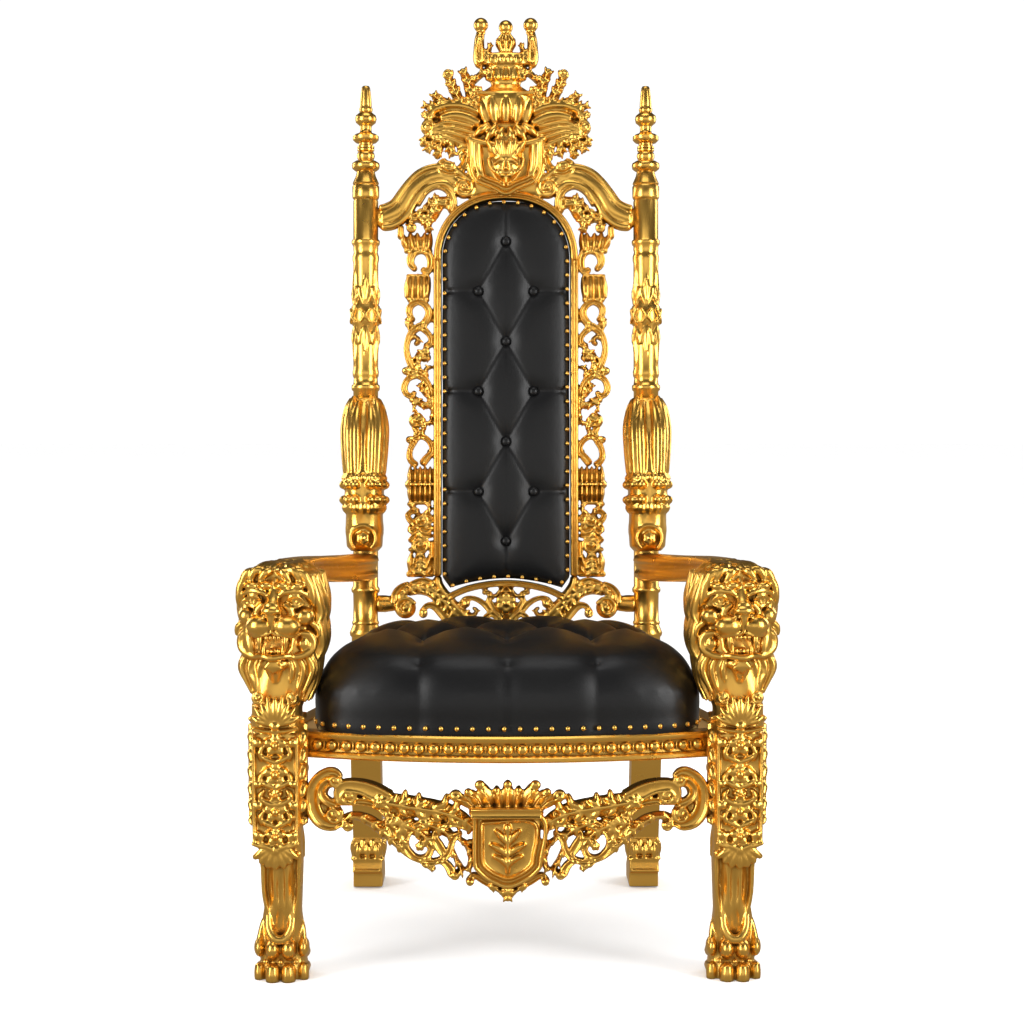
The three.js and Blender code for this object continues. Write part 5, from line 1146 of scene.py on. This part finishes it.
# Upholstery: black leather stuffed over the seat and over the back panel, pulled in by buttons. Each cover is blown
# up with its rim held and its buttons and pleats held part way, and the pleats are drawn in after that.
def lines_away(points, lines):
    """How far each point is from the nearest of some line segments, in millimetres."""
    best = np.full(len(points), 1e9)
    for a, b in lines:
        a, b = np.array(a, float), np.array(b, float)
        t = np.clip(((points - a) @ (b - a)) / ((b - a) @ (b - a)), 0, 1)
        best = np.minimum(best, np.linalg.norm(points - a - t[:, None] * (b - a), axis=1))
    return best


def outwards(mesh):
    flat = np.empty(len(mesh.vertices) * 3)
    mesh.vertex_normals.foreach_get("vector", flat)
    return flat.reshape(-1, 3)


def stuff(mesh, held, cap, pressure=4.0):
    """Blows the cover up for twenty frames with the held share of each point pinned; no point goes past the cap."""
    bag = bpy.data.objects.new("bag", mesh)
    scene.collection.objects.link(bag)
    group = bag.vertex_groups.new(name="held")
    for k, w in enumerate(held):
        group.add([k], float(w), "REPLACE")
    cloth = bag.modifiers.new("cloth", "CLOTH")
    cloth.settings.quality = 3
    cloth.settings.mass = 0.4
    cloth.settings.tension_stiffness = 30
    cloth.settings.compression_stiffness = 30
    cloth.settings.bending_stiffness = 2
    cloth.settings.vertex_group_mass = "held"
    cloth.settings.use_pressure = True
    cloth.settings.uniform_pressure_force = pressure
    cloth.settings.effector_weights.gravity = 0
    cloth.collision_settings.use_collision = False
    cloth.point_cache.frame_start = 1
    cloth.point_cache.frame_end = 20
    for frame_number in range(1, 21):
        scene.frame_set(frame_number)
    blown = bpy.data.meshes.new_from_object(bag.evaluated_get(bpy.context.evaluated_depsgraph_get()))
    before, after = coordinates(mesh), coordinates(blown)
    step = after - before
    length = np.maximum(np.linalg.norm(step, axis=1), 1e-9)
    step *= (cap * mm * np.tanh(length / (cap * mm)) / length)[:, None]
    mesh.vertices.foreach_set("co", (before + step).ravel())
    bpy.data.objects.remove(bag)
    scene.frame_set(1)
    return mesh


def refined(mesh, levels=1):
    block = bpy.data.objects.new("block", mesh)
    scene.collection.objects.link(block)
    finer = block.modifiers.new("finer", "SUBSURF")
    finer.levels = finer.render_levels = levels
    done = bpy.data.meshes.new_from_object(block.evaluated_get(bpy.context.evaluated_depsgraph_get()))
    bpy.data.objects.remove(block)
    return done


def draw_in(mesh, buttons, pleats, dimple, fold):
    """Pulls the leather in at buttons and along pleats. A pleat is a sharp line in the bottom of a soft valley."""
    at, normal = coordinates(mesh) * 1000, outwards(mesh)
    knobs = np.full(len(at), 1e9)
    for b in buttons:
        knobs = np.minimum(knobs, np.linalg.norm(at - np.array(b), axis=1))
    away = lines_away(at, pleats)
    depth = dimple * np.exp(-(knobs / 17.0) ** 1.3)
    depth = np.maximum(depth, 0) + fold * (0.6 * np.exp(-(away / 20.0) ** 1.3) + 0.4 * np.exp(-(away / 4.0) ** 2))
    mesh.vertices.foreach_set("co", ((at - normal * depth[:, None]) * mm).ravel())


seat_buttons = [(x, -170, 556) for x in (-150, 0, 150)] + [(-75, -30, 560), (75, -30, 560), (-225, -30, 552),
        (225, -30, 552)]
seat_buttons += [(x, 110, 558) for x in (-150, 0, 150)]
pleats = []
for x in (-150, 0, 150):
    for row, z in ((-170, 572), (110, 574)):
        for other in (-225, -75, 75, 225):
            if abs(other - x) == 75:
                pleats.append(((x, row, z + 6), (other, -30, 580)))
    front_y = -337 - 42 * (1 - (x / 300) ** 2)
    pleats += [((x, -170, 579), (x * 1.01, -250, 578)), ((x * 1.01, -250, 578), (x * 1.03, front_y + 22, 548)),
               ((x * 1.03, front_y + 22, 548), (x * 1.04, front_y - 4, 500)), ((x * 1.04, front_y - 4, 500),
               (x * 1.04, front_y - 6, 440)),
               ((x, 110, 572), (x, 172, 560)), ((x, 172, 560), (x, 198, 500))]
for s in (-1, 1):
    pleats += [((s * 225, -30, 566), (s * 276, -32, 545)), ((s * 276, -32, 545), (s * 304, -34, 500)),
               ((s * 225, -30, 566), (s * 262, -150, 560)), ((s * 150, 110, 570), (s * 236, 140, 558))]


def seat_ring(z, inset, power, count=96):
    ring = []
    for k in range(count):
        t = (k + 0.5) * 2 * math.pi / count
        c, s = math.cos(t), math.sin(t)
        reach = (abs(c) ** power + abs(s) ** power) ** (-1 / power)
        u, v = c * reach, s * reach
        y = -75 + (273 if v > 0 else 262) * v * (1 - inset / 280)
        half = 345 - 78 * (y + 337) / 535
        bow = 48 * (1 - u * u) * v * v if v < 0 else 0
        ring.append(((half - inset) * u, y - bow * (1 - inset / 200), z))
    return ring


seat = Carving()
seat.skin([seat_ring(410, 3, 9), seat_ring(424, -5, 9), seat_ring(434, -6, 9), seat_ring(448, -5, 9),
           seat_ring(475, -8, 8), seat_ring(500, -6, 8),
           seat_ring(522, 2, 7), seat_ring(544, 13, 6.5), seat_ring(562, 32, 6), seat_ring(575, 62, 5),
           seat_ring(581, 100, 4.5), seat_ring(582, 150, 4)])
cover = seat.melt("seat_cushion", 10.0, 1)
at = coordinates(cover) * 1000
near = np.minimum.reduce([np.linalg.norm(at - np.array(b) - (0, 0, 20), axis=1) for b in seat_buttons])
held = np.clip(1.2 - near / 26, 0, 1)
held = np.maximum(held, 0.85 * np.clip(1.1 - lines_away(at, pleats) / 15, 0, 1))
held = np.maximum(held, np.clip((462 - at[:, 2]) / 16, 0, 1))
cover = refined(stuff(cover, held, 12.0), 1)
draw_in(cover, [(x, y, z + 20) for x, y, z in seat_buttons], pleats, 20, 17)
cover.shade_smooth()
show("seat_cushion_leather", cover, ["seat_cushion"], leather)

pad_buttons = [(0, 1315), (-55, 1215), (55, 1215), (0, 1115), (-55, 1015), (55, 1015), (0, 915), (-55, 815),
        (55, 815), (0, 716)]


def pad_ring(inset, y):
    ring = []
    for k in range(61):
        a = math.pi * k / 60
        c = abs(math.cos(a)) ** (2 / 2.2) * math.copysign(1, math.cos(a))
        ring.append((128 * c, 1280 + 120 * math.sin(a) ** (2 / 2.2)))
    ring += [(-128, z) for z in np.linspace(1260, 645, 40)]
    ring += [(x, 641 - 18 * (x / 112) ** 2) for x in np.linspace(-112, 112, 21)]
    ring += [(128, z) for z in np.linspace(645, 1260, 40)]
    return [(x * (1 - inset / 128), y, 980 + (z - 980) * (1 - inset / 400)) for x, z in ring]


back = Carving()
back.skin([pad_ring(0, 249), pad_ring(0, 224), pad_ring(3, 214), pad_ring(8, 208), pad_ring(18, 203),
        pad_ring(36, 199), pad_ring(70, 196)])
cover = back.melt("back_pad", 7.0, 1)
pleats = []
for i, (x, z) in enumerate(pad_buttons):
    for u, v in pad_buttons[i + 1:]:
        if abs(x - u) == 55 and abs(z - v) <= 101:
            pleats.append(((x, 199, z), (u, 199, v)))
    if x:
        pleats.append(((x, 199, z), (math.copysign(122, x), 207, z + 1)))
pleats += [((0, 199, 1315), (0, 206, 1394)), ((0, 199, 716), (0, 206, 646))]
at = coordinates(cover) * 1000
near = np.minimum.reduce([np.linalg.norm(at - (x, 197, z), axis=1) for x, z in pad_buttons])
held = np.clip(1.25 - near / 22, 0, 1)
held = np.maximum(held, 0.85 * np.clip(1.1 - lines_away(at, pleats) / 12, 0, 1))
held = np.maximum(held, np.clip((at[:, 1] - 203) / 6, 0, 1))
cover = refined(stuff(cover, held, 9.0), 1)
draw_in(cover, [(x, 197, z) for x, z in pad_buttons], pleats, 10, 8.0)
leaned(cover)
cover.shade_smooth()
show("back_pad_leather", cover, ["back_pad"], leather)


# Buttons: domed moulds covered with the same leather and tied down through the stuffing, so that each one sits at the
# bottom of its dimple.
for k, (x, y, z) in enumerate(seat_buttons):
    knob = Carving()
    knob.ball(x, y, z + 2, 9, 9, 5.5)
    mesh = knob.plain("button")
    mesh.shade_smooth()
    show(f"seat_button_{k + 1}_leather", mesh, [f"seat_button_{k + 1}"], leather)
for k, (x, z) in enumerate(pad_buttons):
    knob = Carving()
    knob.ball(x, 205, z, 9, 6, 9)
    mesh = knob.plain("button")
    leaned(mesh)
    mesh.shade_smooth()
    show(f"back_button_{k + 1}_leather", mesh, [f"back_button_{k + 1}"], leather)


# Nails: small domed heads of gilt brass that hold down the leather's edge, along the sides and front of the seat and
# around the pad just inside its moulding. Each row is driven at an even spacing.
def spaced(ring, apart):
    """Even places along a closed line, about this many millimetres apart."""
    ring = np.vstack([ring, ring[:1]])
    run = np.concatenate([[0], np.cumsum(np.linalg.norm(np.diff(ring, axis=0), axis=1))])
    return [(np.interp(d, run, ring[:, 0]), np.interp(d, run, ring[:, 1]))
            for d in np.arange(0, run[-1], run[-1] / round(run[-1] / apart))]


nails = Carving()
for x, y in spaced(np.array(seat_ring(439, -4, 9, 720))[:, :2], 27):
    if y < 150:
        nails.ball(x, y, 438, 4.6, 4.6, 4.6, shape=1)
mesh = nails.plain("seat_nails")
mesh.shade_smooth()
show("seat_nails", mesh, [], gold)
nails = Carving()
for x, z in spaced(np.array(pad_ring(6, 206))[:, [0, 2]], 28):
    nails.ball(x, 206.5, z, 4.2, 4, 4.2, shape=1)
mesh = nails.plain("back_nails")
leaned(mesh)
mesh.shade_smooth()
show("back_nails", mesh, [], gold)

box = [list(corner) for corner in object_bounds()]
